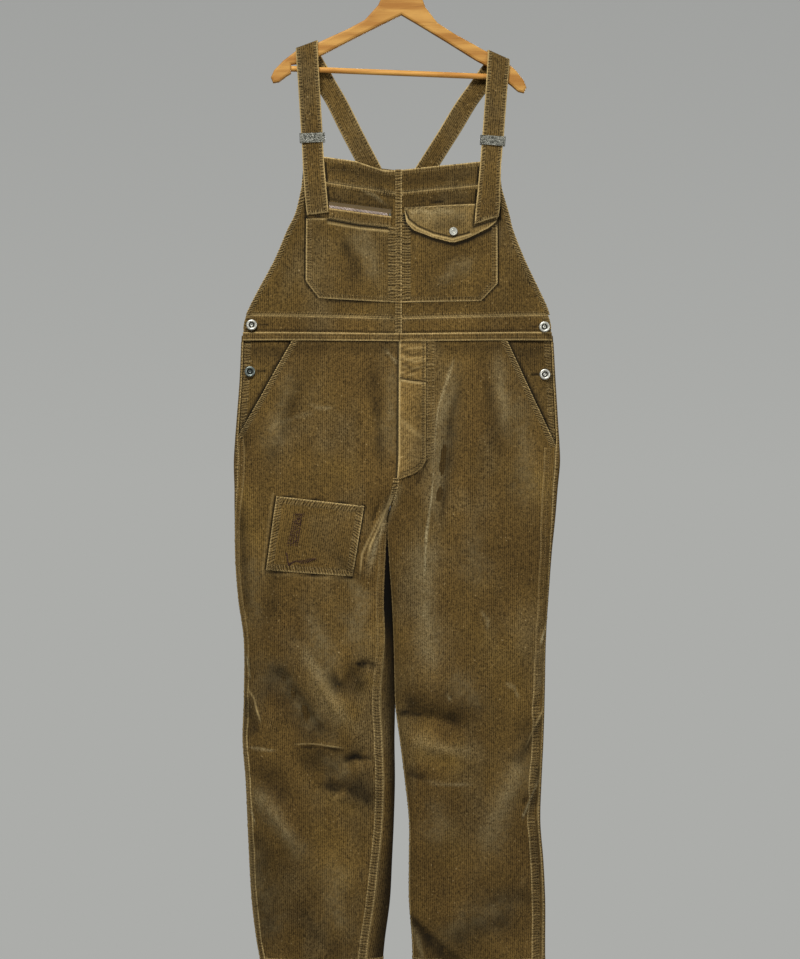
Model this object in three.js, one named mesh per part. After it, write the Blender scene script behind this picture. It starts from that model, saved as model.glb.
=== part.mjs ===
// Corduroy bib overalls hanging on a wooden hanger.
// Millimetres, +Z up, the front faces -Y. The origin is the inside top of the hook.
// Sides are the wearer's: "right" lies at -X and "left" at +X.
import * as THREE from "three";

// Driving sizes
const clothWall = 2;
const bandWall = 2.6;
const bandLift = 0.6;
const stayDepth = 3.4;
const stayUnderlap = 12;
const seamGap = 0.3;
const sectionPower = 2.5;
const waistOuter = -641;
const waistDrop = 4.5;
const waistDropEnd = -760;
const beltOuter = -607.5;
const beltDrop = 7;
const crotchHeight = -942;
const crotchRise = 85;
const hemHeight = -1691;

// Outline of the trousers: outer edges, the line between the legs and the free space there.
const trouserSections = [
  { z: -641, right: -261, left: 252, middle: -1, split: 0 },
  { z: -715, right: -264, left: 256, middle: -2, split: 0 },
  { z: -780, right: -269, left: 260, middle: -2.5, split: 0 },
  { z: -846, right: -274, left: 264, middle: -3, split: 0 },
  { z: -893, right: -273, left: 260, middle: -7, split: 0 },
  { z: -942, right: -272, left: 256, middle: -20, split: 0 },
  { z: -1011, right: -271, left: 249, middle: -18, split: 3 },
  { z: -1077, right: -266, left: 244, middle: -13.5, split: 3 },
  { z: -1143, right: -257, left: 240, middle: -10.7, split: 2.6 },
  { z: -1242, right: -257, left: 238, middle: -8.2, split: 2.6 },
  { z: -1308, right: -259, left: 236, middle: -4.5, split: 9 },
  { z: -1374, right: -254, left: 233, middle: 0, split: 16.5 },
  { z: -1440, right: -251, left: 231, middle: 2.5, split: 25 },
  { z: -1506, right: -248, left: 236, middle: 1, split: 28 },
  { z: -1572, right: -244, left: 239, middle: -0.7, split: 31.5 },
  { z: -1638, right: -236, left: 239, middle: -2.5, split: 45 },
  { z: -1691, right: -226, left: 239, middle: -4.5, split: 51 },
];

// How far the front and the back stand out from the plane of the hanger.
const depthSections = [
  { z: -300, front: 10.5, back: 13 },
  { z: -500, front: 18, back: 20 },
  { z: -641, front: 27, back: 28 },
  { z: -780, front: 34, back: 40 },
  { z: -893, front: 37, back: 43 },
  { z: -1011, front: 36, back: 40 },
  { z: -1242, front: 33, back: 35 },
  { z: -1506, front: 30, back: 31 },
  { z: -1691, front: 27, back: 28 },
];

// How far each seam of the legs lies in front of the outermost and innermost line.
const seamSections = [
  { z: -641, rightOuter: 3, leftOuter: 3, rightInner: 0, leftInner: 0 },
  { z: -807, rightOuter: 5, leftOuter: 5, rightInner: 0, leftInner: 0 },
  { z: -846, rightOuter: 9, leftOuter: 9, rightInner: 0, leftInner: 0 },
  { z: -942, rightOuter: 2, leftOuter: 7, rightInner: 0, leftInner: 0 },
  { z: -1011, rightOuter: 1, leftOuter: 4, rightInner: 6, leftInner: 0 },
  { z: -1077, rightOuter: 1, leftOuter: 2, rightInner: 13, leftInner: 0 },
  { z: -1143, rightOuter: 1, leftOuter: 2, rightInner: 14, leftInner: 0 },
  { z: -1242, rightOuter: 1, leftOuter: 3, rightInner: 24, leftInner: 0 },
  { z: -1308, rightOuter: 1, leftOuter: 3, rightInner: 20, leftInner: 0 },
  { z: -1440, rightOuter: 1, leftOuter: 4, rightInner: 19, leftInner: 0 },
  { z: -1572, rightOuter: 1, leftOuter: 4, rightInner: 26, leftInner: 0 },
  { z: -1691, rightOuter: 1, leftOuter: 5, rightInner: 28, leftInner: 0 },
];

// Straight slanted edges of the front pockets.
const pocketMouth = {
  right: { topX: -175, topZ: -650, endX: -266, endZ: -807 },
  left: { topX: 174, topZ: -650, endX: 256, endZ: -822 },
};

// Outer edges of the bib below its top band, and how much lower each row is in the middle.
const bibSections = [
  { z: -385, right: -161, left: 166 },
  { z: -401, right: -163, left: 168 },
  { z: -442, right: -173, left: 180 },
  { z: -467, right: -185, left: 186 },
  { z: -516, right: -206, left: 205 },
  { z: -566, right: -233, left: 229 },
  { z: -591, right: -246, left: 241 },
  { z: -607.5, right: -254, left: 247 },
];
const bandSeam = {
  right: { outerZ: -384, drop: 25 },
  left: { outerZ: -391, drop: 16 },
};
const bandTop = {
  right: [[-158, -346.5], [-122, -348], [-73, -355], [-26, -371], [-1, -370.5]],
  left: [[162, -352.5], [130, -356], [60, -363], [-1, -370]],
};

// Half width of the yoke behind, which narrows upwards to the crossed straps.
const yokeCentre = -5;
const yokeSections = [
  { z: -505, half: 64 },
  { z: -535, half: 86 },
  { z: -560, half: 125 },
  { z: -585, half: 185 },
  { z: -600, half: 232 },
  { z: -607.5, half: 250 },
];

// Largest folds: path, half width and height (a trough has a negative height).
const folds = [
  { face: "front", width: 16, height: 5, path: [[88, -690], [59, -782], [54, -871], [44, -944], [41, -1011]] },
  { face: "front", width: 22, height: 3.5, path: [[162, -703], [181, -822]] },
  { face: "front", width: 26, height: 3.5, path: [[-177, -690], [-222, -863]] },
  { face: "front", width: 24, height: -8, path: [[-212, -1178], [-149, -1262], [-130, -1299]] },
  { face: "front", width: 28, height: 6, path: [[-173, -1185], [-78, -1284]] },
  { face: "front", width: 18, height: -6, path: [[-96, -1212], [-60, -1184]] },
  { face: "front", width: 20, height: -5, path: [[-137, -1348], [-76, -1334]] },
  { face: "front", width: 28, height: 5, path: [[-215, -1393], [-152, -1506]] },
  { face: "front", width: 22, height: -5, path: [[-200, -1480], [-192, -1648]] },
  { face: "front", width: 18, height: -6, path: [[22, -1269], [92, -1287]] },
  { face: "front", width: 20, height: 4, path: [[26, -1304], [110, -1312]] },
  { face: "front", width: 26, height: 4, path: [[206, -1341], [129, -1506]] },
  { face: "front", width: 18, height: -4, path: [[38, -1606], [86, -1650]] },
  { face: "front", width: 20, height: 5, path: [[-44, -935], [-70, -1000]] },
  { face: "back", width: 22, height: -6, path: [[-48, -905], [-165, -985]] },
  { face: "back", width: 22, height: -6, path: [[30, -912], [150, -978]] },
  { face: "back", width: 26, height: 6, path: [[-60, -960], [-150, -1060]] },
  { face: "back", width: 24, height: -7, path: [[-215, -1215], [-95, -1262]] },
  { face: "back", width: 24, height: -6, path: [[60, -1240], [190, -1206]] },
  { face: "back", width: 26, height: 5, path: [[70, -1290], [180, -1330]] },
  { face: "back", width: 26, height: 4, path: [[-190, -1340], [-90, -1420]] },
];
const foldEdgeMargin = 26;
const foldEndShare = 0.3;
const foldEndHeight = 0.35;

// Chest pocket: each row runs from its outer edge to the middle.
const pocketRows = {
  right: [
    [[-154, -450], [-119, -450], [-68, -459], [-20, -463.5], [-1.5, -464]],
    [[-154.5, -500], [-1.5, -512]],
    [[-154.5, -553], [-1.5, -566]],
    [[-144, -567], [-1.5, -578]],
    [[-133, -581.5], [-1.5, -589]],
  ],
  left: [
    [[160, -441], [-0.5, -441]],
    [[160, -500], [-0.5, -505]],
    [[160, -557], [-0.5, -562]],
    [[147, -571], [-0.5, -577]],
    [[133, -586], [-0.5, -589]],
  ],
};
const zipTapeRows = [
  [[-117, -422], [-14, -435]],
  [[-117, -433], [-14, -446.5]],
];
const zipWeltRows = [
  [[-117, -433], [-14, -446.5]],
  [[-117, -450], [-68, -459], [-20, -463.5], [-14, -463.7]],
];
const flapRows = [
  [[162, -424], [7, -432]],
  [[162, -443], [7, -438]],
  [[158, -455.5], [10.5, -456.5]],
  [[145, -466.5], [21.5, -469.5]],
  [[113, -482], [54, -482]],
  [[90, -489.6], [82, -489.6]],
];
const flyRows = [
  [[43, -648], [-0.4, -648]],
  [[43, -848], [-2.2, -848]],
  [[36, -861], [-3.2, -862]],
  [[22, -870], [-4.2, -871]],
  [[3, -877], [-5.2, -878.5]],
];
const patchRows = [
  [[-202, -906], [-58.5, -922]],
  [[-219, -1027], [-77.5, -1037]],
];

// Sewn-on front tabs of the straps, from the bib up to the slide; lift clears what lies below.
const tabRows = {
  right: [
    { outerX: -153, outerZ: -444.5, innerX: -117, innerZ: -440, lift: 0.7 },
    { outerX: -157, outerZ: -405, innerX: -120.5, innerZ: -403, lift: 0.7 },
    { outerX: -160, outerZ: -360, innerX: -124.5, innerZ: -360, lift: 0.7 },
    { outerX: -162, outerZ: -317, innerX: -127, innerZ: -317, lift: 0.7 },
  ],
  left: [
    { outerX: 162, outerZ: -447, innerX: 122, innerZ: -460, lift: 4.5 },
    { outerX: 164, outerZ: -420, innerX: 125, innerZ: -425, lift: 4.5 },
    { outerX: 165, outerZ: -400, innerX: 127.5, innerZ: -403, lift: 1.2 },
    { outerX: 166.5, outerZ: -360, innerX: 131.5, innerZ: -360, lift: 0.7 },
    { outerX: 170, outerZ: -322, innerX: 134.5, innerZ: -322, lift: 0.7 },
  ],
};

// Long straps: over the hanger, down behind, crossed and sewn on the yoke.
const strapWall = 2.8;
const strapHalf = 18;
const strapHalfBehind = 19;
const archRadius = 9;
const straps = {
  right: {
    archX: -153.5, archZ: -170.5, slope: 0.38, endX: -144.5, endZ: -316.4, endY: -12,
    behind: [
      { x: -135, y: 9.2, z: -205 },
      { x: -106, y: 10, z: -252.5 },
      { x: -81, y: 12, z: -302 },
      { x: -55, y: 13.5, z: -351.5 },
      { x: -24.5, y: 16, z: -410 },
      { x: -6.6, y: 17.5, z: -444 },
      { x: 11.2, y: 19.5, z: -478 },
      { x: 22.7, y: 22.4, z: -500 },
      { x: 41, y: 24.2, z: -535 },
    ],
  },
  left: {
    archX: 162.5, archZ: -187.6, slope: -0.46, endX: 152.5, endZ: -321.4, endY: -12,
    behind: [
      { x: 146, y: 9.2, z: -210 },
      { x: 113, y: 10, z: -252.5 },
      { x: 82.5, y: 12.5, z: -302 },
      { x: 51, y: 15.5, z: -351.5 },
      { x: 14.5, y: 19.6, z: -410 },
      { x: -6.6, y: 21.2, z: -444 },
      { x: -28, y: 22.8, z: -478 },
      { x: -41.6, y: 22.9, z: -500 },
      { x: -63, y: 24.5, z: -535 },
    ],
  },
};

// Strap slides
const slide = { width: 41.5, depth: 7.2, height: 15.5, innerWidth: 39, innerDepth: 4.6 };
const slidePlaces = {
  right: { x: -144.2, y: -12, z: -316.8, turn: 2 },
  left: { x: 152.5, y: -12, z: -321.4, turn: -4 },
};

// Buttons and snap
const buttonRadius = 8.8;
const buttonHeight = 3;
const snapRadius = 7;
const snapHeight = 2.4;
const buttonPlaces = [
  { name: "side_button_upper_right", x: -243, z: -624.8, lift: 0.9 },
  { name: "side_button_upper_left", x: 236.5, z: -628, lift: 0.9 },
  { name: "side_button_lower_right", x: -247, z: -701.2, lift: -3.0 },
  { name: "side_button_lower_left", x: 238.5, z: -705.8, lift: -3.0 },
];
const snapPlace = { x: 87.5, z: -472, lift: 4.3 };

// Hanger, in its own frame, tilted a little about the hook
const hangerTilt = 2.3;
const neckShift = 6.8;
const hangerThick = 12;
const hangerBevel = 3.5;
const barRadius = 4.75;
const barHeight = -208;
const barHalf = 177.7;
const hookWire = 2;
const hangerTopEdge = [
  [0, -70], [20, -71], [32, -80], [39, -98], [60, -123], [88, -139.5], [120, -155.5],
  [138, -164.9], [172, -179.2], [192, -196], [206, -212], [211, -224],
];
const hangerLowerEdge = [
  [207, -233], [197, -231], [185, -221], [178, -216.5], [178, -201.5], [160, -198.5],
  [126, -182.5], [76, -154], [28, -127.5], [0, -112.5],
];
const hookPath = [
  [6.8, -69.7], [6.8, -58], [10, -47], [18, -36], [22, -20], [15.6, -4.4],
  [0, 2], [-15.6, -4.4], [-22, -20], [-18.5, -32], [-11, -39],
];

// Thickness of what lies on the front, and its distance from the front's own points
const layers = {
  fly: { wall: 1.2, lift: 0.8 },
  patch: { wall: 1.2, lift: 0.5 },
  pocket: { wall: 1.5, lift: 0.3 },
  tape: { wall: 1, lift: 0.3 },
  welt: { wall: 2.2, lift: 0.3 },
  flap: { wall: 1.8, lift: 2.2 },
};

// Colours
const colours = {
  clothBib: 0x5d4827, clothBand: 0x67512d, clothLeg: 0x5d4b2b, clothHip: 0x544225,
  clothFly: 0x6b552f, clothStrap: 0x5e4c2b, clothPatch: 0x544121, clothFlap: 0x74643e,
  tape: 0x6a5f50, oldSilver: 0x7d7c72, wood: 0xb7935e, wire: 0xb9b9b4,
};

// The turn just behind the middle line, where the back begins.
const behindMiddle = 1 + 1e-9;

// Rows run down and columns run inwards, so the two sides turn opposite ways.
const facingOf = { right: 1, left: -1 };

function clamp(value, low, high) {
  return Math.min(high, Math.max(low, value));
}

function mix(a, b, share) {
  return a + (b - a) * share;
}

function smooth(value) {
  const t = clamp(value, 0, 1);
  return t * t * (3 - 2 * t);
}

// Smooth value of one column of a table at height z; the rows run downwards.
function sizeAt(table, name, z) {
  const last = table.length - 1;
  if (z >= table[0].z) {
    return table[0][name];
  }
  if (z <= table[last].z) {
    return table[last][name];
  }
  const k = table.findIndex((row, index) => index < last && z >= table[index + 1].z);
  const before = table[Math.max(k - 1, 0)];
  const above = table[k];
  const below = table[k + 1];
  const after = table[Math.min(k + 2, last)];
  const step = below.z - above.z;
  const slopeAbove = (below[name] - before[name]) / (below.z - before.z);
  const slopeBelow = (after[name] - above[name]) / (after.z - above.z);
  const t = (z - above.z) / step;
  const t2 = t * t;
  const t3 = t2 * t;
  return (2 * t3 - 3 * t2 + 1) * above[name] + (t3 - 2 * t2 + t) * step * slopeAbove
    + (3 * t2 - 2 * t3) * below[name] + (t3 - t2) * step * slopeBelow;
}

// Outer and inner line of one side; above the waist the section keeps the waist's width.
function edgesAt(side, z) {
  const height = Math.min(z, waistOuter);
  const half = Math.max(0, sizeAt(trouserSections, "split", height)) / 2;
  const middle = sizeAt(trouserSections, "middle", height);
  const reach = half + seamGap / 2;
  return {
    outer: sizeAt(trouserSections, side, height),
    inner: side === "right" ? middle - reach : middle + reach,
  };
}

// Height of the folds at one place of the front or the back.
function foldHeight(face, x, z, edgeDistance) {
  let height = 0;
  for (const fold of folds) {
    if (fold.face !== face) {
      continue;
    }
    let walked = 0;
    let nearest = Infinity;
    let nearestWalk = 0;
    for (let k = 0; k + 1 < fold.path.length; k += 1) {
      const [x1, z1] = fold.path[k];
      const [x2, z2] = fold.path[k + 1];
      const length = Math.hypot(x2 - x1, z2 - z1);
      const along = ((x - x1) * (x2 - x1) + (z - z1) * (z2 - z1)) / length;
      const held = clamp(along, 0, length);
      const distance = Math.hypot(
        x - mix(x1, x2, held / length),
        z - mix(z1, z2, held / length),
      );
      if (distance < nearest) {
        nearest = distance;
        nearestWalk = walked + held;
      }
      walked += length;
    }
    const fromEnd = Math.min(nearestWalk, walked - nearestWalk) / walked;
    const taper = mix(foldEndHeight, 1, smooth(fromEnd / foldEndShare));
    height += fold.height * taper * Math.exp(-((nearest / fold.width) ** 2));
  }
  return height * smooth(edgeDistance / foldEdgeMargin);
}

// One point of the cloth: turn 0 to 1 runs over the front from the outer line to the
// inner line, and 1 to 2 comes back behind.
function ringPoint(side, turn, z) {
  const held = ((turn % 2) + 2) % 2;
  const behind = held > 1;
  const share = behind ? 2 - held : held;
  const across = (1 - Math.cos(Math.PI * share)) / 2;
  const { outer, inner } = edgesAt(side, z);
  const x = mix(outer, inner, across);
  const trunk = (1 - (1 - across) ** sectionPower) ** (1 / sectionPower);
  const leg = (1 - Math.abs(2 * across - 1) ** sectionPower) ** (1 / sectionPower);
  const legShare = smooth((crotchHeight + crotchRise - z) / crotchRise) ** 2;
  const depth = sizeAt(depthSections, behind ? "back" : "front", z);
  const edgeDistance = Math.min(across, 1 - across) * Math.abs(inner - outer);
  const bulge = depth * mix(trunk, leg, legShare)
    + foldHeight(behind ? "back" : "front", x, z, edgeDistance);
  return new THREE.Vector3(x, behind ? bulge : -bulge, z);
}

// The turn at which the front of one side has a given x.
function turnAt(side, x, z) {
  const { outer, inner } = edgesAt(side, z);
  const across = clamp((x - outer) / (inner - outer), 0, 1);
  return Math.acos(1 - 2 * across) / Math.PI;
}

function turnAtInset(side, z, outerInset) {
  const { outer, inner } = edgesAt(side, z);
  return turnAt(side, outer + Math.sign(inner - outer) * outerInset, z);
}

function frontPoint(side, x, z) {
  return ringPoint(side, turnAt(side, x, z), z);
}

function backPoint(x, z) {
  const side = x < edgesAt("right", z).inner ? "right" : "left";
  return ringPoint(side, 2 - turnAt(side, x, z), z);
}

// A closed wall between two grids of points with the same rows and columns.
function wallGeometry(outer, inner) {
  const rows = outer.length;
  const columns = outer[0].length;
  const positions = [];
  for (const grid of [outer, inner]) {
    for (const row of grid) {
      for (const point of row) {
        positions.push(point.x, point.y, point.z);
      }
    }
  }
  const at = (row, column) => row * columns + column;
  const under = (row, column) => rows * columns + at(row, column);
  const faces = [];
  const quad = (a, b, c, d) => faces.push([a, b, c], [a, c, d]);
  for (let r = 0; r + 1 < rows; r += 1) {
    for (let c = 0; c + 1 < columns; c += 1) {
      quad(at(r, c), at(r, c + 1), at(r + 1, c + 1), at(r + 1, c));
      quad(under(r + 1, c), under(r + 1, c + 1), under(r, c + 1), under(r, c));
    }
  }
  for (let c = 0; c + 1 < columns; c += 1) {
    quad(at(0, c + 1), at(0, c), under(0, c), under(0, c + 1));
    quad(at(rows - 1, c), at(rows - 1, c + 1), under(rows - 1, c + 1), under(rows - 1, c));
  }
  for (let r = 0; r + 1 < rows; r += 1) {
    quad(at(r, 0), at(r + 1, 0), under(r + 1, 0), under(r, 0));
    quad(at(r + 1, columns - 1), at(r, columns - 1), under(r, columns - 1), under(r + 1, columns - 1));
  }
  const corner = (index) => new THREE.Vector3().fromArray(positions, index * 3);
  let volume = 0;
  for (const [a, b, c] of faces) {
    volume += corner(a).dot(corner(b).cross(corner(c)));
  }
  const turned = volume < 0 ? faces.map(([a, b, c]) => [a, c, b]) : faces;
  const geometry = new THREE.BufferGeometry();
  geometry.setAttribute("position", new THREE.Float32BufferAttribute(positions, 3));
  geometry.setIndex(turned.flat());
  geometry.computeVertexNormals();
  return geometry;
}

// A cloth wall over a surface given by pointAt(v, u), with v down the rows and u along them.
// Each edge is drawn in by half the seam gap. "facing" is 1 or -1 and turns the outer face out.
function clothWallOver(pointAt, rowValues, columnValues, { wall = clothWall, liftAt = () => 0, facing }) {
  const step = 1e-3;
  const outer = [];
  const inner = [];
  const lastRow = rowValues.length - 1;
  const lastColumn = columnValues.length - 1;
  rowValues.forEach((v, r) => {
    outer.push([]);
    inner.push([]);
    columnValues.forEach((u, c) => {
      const point = pointAt(v, u);
      const down = pointAt(Math.min(v + step, 1), u).sub(pointAt(Math.max(v - step, 0), u)).normalize();
      const along = pointAt(v, Math.min(u + step, 1)).sub(pointAt(v, Math.max(u - step, 0))).normalize();
      const normal = new THREE.Vector3().crossVectors(down, along).setLength(facing);
      const rowShift = (r === 0 ? 1 : 0) - (r === lastRow ? 1 : 0);
      const columnShift = (c === 0 ? 1 : 0) - (c === lastColumn ? 1 : 0);
      point.addScaledVector(down, rowShift * seamGap / 2);
      point.addScaledVector(along, columnShift * seamGap / 2);
      const lift = liftAt(v, u);
      outer[r].push(point.clone().addScaledVector(normal, lift));
      inner[r].push(point.clone().addScaledVector(normal, lift - wall));
    });
  });
  return wallGeometry(outer, inner);
}

function evenly(count) {
  return Array.from({ length: count + 1 }, (_, index) => index / count);
}

// Point at one share of a row that is given by two or more [x, z] corners.
function alongRow(corners, share) {
  const first = corners[0][0];
  const last = corners[corners.length - 1][0];
  const x = mix(first, last, share);
  const k = clamp(
    corners.findIndex((corner) => Math.abs(corner[0] - first) >= Math.abs(x - first)) - 1,
    0,
    corners.length - 2,
  );
  const t = (x - corners[k][0]) / (corners[k + 1][0] - corners[k][0]);
  return { x, z: mix(corners[k][1], corners[k + 1][1], t) };
}

// Place (x, z) on a sheet whose rows are given from top to bottom.
function sheetPlace(rows, v, u) {
  const position = clamp(v, 0, 1) * (rows.length - 1);
  const k = Math.min(Math.floor(position), rows.length - 2);
  const upper = alongRow(rows[k], u);
  const lower = alongRow(rows[k + 1], u);
  return { x: mix(upper.x, lower.x, position - k), z: mix(upper.z, lower.z, position - k) };
}

// A piece on the front, made from the front's own points and moved out.
function frontSheet(side, rows, { rowSteps, columnSteps, wall, lift }) {
  const pointAt = (v, u) => {
    const place = sheetPlace(rows, v, u);
    return frontPoint(side, place.x, place.z);
  };
  return clothWallOver(pointAt, evenly(rowSteps), evenly(columnSteps), {
    wall,
    liftAt: () => lift + wall,
    facing: facingOf[side],
  });
}

const garment = new THREE.Group();

function addPiece(name, geometry, colour, metalness = 0) {
  const roughness = metalness > 0 ? 0.45 : 0.9;
  const material = new THREE.MeshStandardMaterial({ color: colour, roughness, metalness });
  const mesh = new THREE.Mesh(geometry, material);
  mesh.name = name;
  garment.add(mesh);
  return mesh;
}

// Heights of the rows of the legs, closer together round the crotch.
function legRows() {
  const stretches = [
    { from: waistOuter - waistDrop, to: crotchHeight + crotchRise, steps: 7 },
    { from: crotchHeight + crotchRise, to: crotchHeight, steps: 6 },
    { from: crotchHeight, to: crotchHeight - 70, steps: 3 },
    { from: crotchHeight - 70, to: hemHeight, steps: 19 },
  ];
  const heights = [stretches[0].from];
  for (const { from, to, steps } of stretches) {
    for (let k = 1; k <= steps; k += 1) {
      heights.push(mix(from, to, k / steps));
    }
  }
  const length = hemHeight - heights[0];
  return heights.map((z) => (z - heights[0]) / length);
}

function legHeight(v) {
  return mix(waistOuter - waistDrop, hemHeight, v);
}

// The waist seam rises a little towards the sides, and the rows below it level out.
function raisedToWaist(side, turn, z) {
  const level = ringPoint(side, turn, z);
  const { outer, inner } = edgesAt(side, z);
  const fromMiddle = 1 - (level.x - outer) / (inner - outer);
  const fade = smooth((z - waistDropEnd) / (waistOuter - waistDrop - waistDropEnd));
  return ringPoint(side, turn, z + waistDrop * fromMiddle * fade);
}

function slantInset(side, z) {
  const mouth = pocketMouth[side];
  const x = mix(mouth.topX, mouth.endX, (mouth.topZ - z) / (mouth.topZ - mouth.endZ));
  return Math.max(0, Math.abs(edgesAt(side, z).outer) - Math.abs(x));
}

function outerSeamTurn(side, z) {
  return turnAtInset(side, z, sizeAt(seamSections, `${side}Outer`, z));
}

function innerSeamTurn(side, z) {
  const { outer, inner } = edgesAt(side, z);
  const inset = Math.max(0, sizeAt(seamSections, `${side}Inner`, z));
  return turnAt(side, inner - Math.sign(inner - outer) * inset, z);
}

function legFront(side) {
  const pointAt = (v, u) => {
    const z = legHeight(v);
    const edge = Math.max(slantInset(side, z), sizeAt(seamSections, `${side}Outer`, z));
    const turn = mix(turnAtInset(side, z, edge), innerSeamTurn(side, z), u);
    return raisedToWaist(side, turn, z);
  };
  return clothWallOver(pointAt, legRows(), evenly(11), { facing: facingOf[side] });
}

function legBack(side) {
  const pointAt = (v, u) => {
    const z = legHeight(v);
    const start = innerSeamTurn(side, z);
    const turn = mix(start < 1 ? start : behindMiddle, 2 + outerSeamTurn(side, z), u);
    return raisedToWaist(side, turn, z);
  };
  return clothWallOver(pointAt, legRows(), evenly(13), { facing: facingOf[side] });
}

// Hip stay: the cloth seen through the slanted pocket edge, one layer further in.
function hipStay(side) {
  const endZ = pocketMouth[side].endZ - 6;
  const pointAt = (v, u) => {
    const z = mix(waistOuter - waistDrop, endZ, v);
    const start = outerSeamTurn(side, z);
    const end = turnAtInset(side, z, slantInset(side, z) + stayUnderlap);
    return raisedToWaist(side, mix(start, end, u), z);
  };
  return clothWallOver(pointAt, evenly(6), evenly(6), {
    liftAt: () => -stayDepth,
    facing: facingOf[side],
  });
}

function beltTop(across) {
  return beltOuter - beltDrop * across;
}

function beltBottom(across) {
  return waistOuter - waistDrop * across;
}

function waistbandFront(side) {
  const pointAt = (v, u) => {
    const turn = mix(outerSeamTurn(side, waistOuter), 1, u);
    const across = (1 - Math.cos(Math.PI * turn)) / 2;
    return ringPoint(side, turn, mix(beltTop(across), beltBottom(across), v));
  };
  return clothWallOver(pointAt, evenly(2), evenly(11), {
    wall: bandWall,
    liftAt: () => bandLift,
    facing: facingOf[side],
  });
}

// The back waistband runs in one piece from the right side to the left side.
function waistbandBack() {
  const pointAt = (v, u) => {
    const side = u < 0.5 ? "right" : "left";
    const reach = Math.abs(2 * u - 1);
    const turn = mix(behindMiddle, 2 + outerSeamTurn(side, waistOuter), reach);
    const across = (1 - Math.cos(Math.PI * turn)) / 2;
    return ringPoint(side, turn, mix(beltTop(across), beltBottom(across), v));
  };
  return clothWallOver(pointAt, evenly(2), evenly(24), {
    wall: bandWall,
    liftAt: () => bandLift,
    facing: -1,
  });
}

function backYoke() {
  const topZ = yokeSections[0].z;
  const pointAt = (v, u) => {
    const z = mix(topZ, beltOuter, v);
    const half = sizeAt(yokeSections, "half", z);
    const share = 2 * u - 1;
    return backPoint(yokeCentre + half * share, z - beltDrop * (1 - Math.abs(share)) * v ** 3);
  };
  return clothWallOver(pointAt, evenly(8), evenly(18), { facing: -1 });
}

function bibPanel(side) {
  const { outerZ, drop } = bandSeam[side];
  const pointAt = (v, u) => {
    const z = mix(outerZ, beltOuter, v);
    const x = mix(sizeAt(bibSections, side, z), edgesAt(side, z).inner, u);
    return frontPoint(side, x, z - mix(drop, beltDrop, v) * u);
  };
  return clothWallOver(pointAt, evenly(9), evenly(9), { facing: facingOf[side] });
}

function bibBand(side) {
  const { outerZ, drop } = bandSeam[side];
  const top = bandTop[side];
  const pointAt = (v, u) => {
    const upper = alongRow(top, u);
    const lowerX = mix(sizeAt(bibSections, side, outerZ), edgesAt(side, outerZ).inner, u);
    return frontPoint(side, mix(upper.x, lowerX, v), mix(upper.z, outerZ - drop * u, v));
  };
  return clothWallOver(pointAt, evenly(3), evenly(9), {
    wall: bandWall,
    liftAt: () => bandLift / 2,
    facing: facingOf[side],
  });
}

function strapTab(side) {
  const rows = tabRows[side];
  const pointAt = (v, u) => {
    const position = v * (rows.length - 1);
    const k = Math.min(Math.floor(position), rows.length - 2);
    const t = position - k;
    const x = mix(
      mix(rows[k].outerX, rows[k].innerX, u),
      mix(rows[k + 1].outerX, rows[k + 1].innerX, u),
      t,
    );
    const z = mix(
      mix(rows[k].outerZ, rows[k].innerZ, u),
      mix(rows[k + 1].outerZ, rows[k + 1].innerZ, u),
      t,
    );
    return frontPoint(side, x, z);
  };
  const liftAt = (v) => {
    const position = v * (rows.length - 1);
    const k = Math.min(Math.floor(position), rows.length - 2);
    return mix(rows[k].lift, rows[k + 1].lift, position - k) + strapWall;
  };
  return clothWallOver(pointAt, evenly(2 * (rows.length - 1)), evenly(2), {
    wall: strapWall,
    liftAt,
    facing: -facingOf[side],
  });
}

// A flat ribbon through rows of a centre and half its width as a vector.
function ribbonGeometry(rows, thickness) {
  const outer = [];
  const inner = [];
  rows.forEach((row, index) => {
    const next = rows[Math.min(index + 1, rows.length - 1)];
    const previous = rows[Math.max(index - 1, 0)];
    const tangent = next.centre.clone().sub(previous.centre);
    const normal = tangent.cross(row.half).setLength(thickness / 2);
    const edges = [row.centre.clone().sub(row.half), row.centre.clone().add(row.half)];
    outer.push(edges.map((edge) => edge.clone().add(normal)));
    inner.push(edges.map((edge) => edge.clone().sub(normal)));
  });
  return wallGeometry(outer, inner);
}

function longStrap(side) {
  const { archX, archZ, slope, endX, endZ, endY, behind } = straps[side];
  const rows = [];
  const addRow = (x, y, z, half, rise) => {
    rows.push({ centre: new THREE.Vector3(x, y, z), half: new THREE.Vector3(half, 0, rise) });
  };
  const frontSteps = 5;
  for (let k = 0; k < frontSteps; k += 1) {
    const share = k / frontSteps;
    const rise = strapHalf * slope * smooth((share - 0.6) / 0.4);
    addRow(mix(endX, archX, share), mix(endY, -archRadius, share), mix(endZ, archZ, share), strapHalf, rise);
  }
  const archSteps = 8;
  for (let k = 0; k <= archSteps; k += 1) {
    const angle = Math.PI * k / archSteps;
    const y = -archRadius * Math.cos(angle);
    const z = archZ + archRadius * Math.sin(angle);
    addRow(archX, y, z, mix(strapHalf, strapHalfBehind, k / archSteps), strapHalf * slope);
  }
  behind.forEach(({ x, y, z }, index) => {
    const rise = index === 0 ? strapHalf * slope * 0.4 : 0;
    addRow(x, y, z, strapHalfBehind, rise);
  });
  return ribbonGeometry(rows, strapWall);
}

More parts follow.
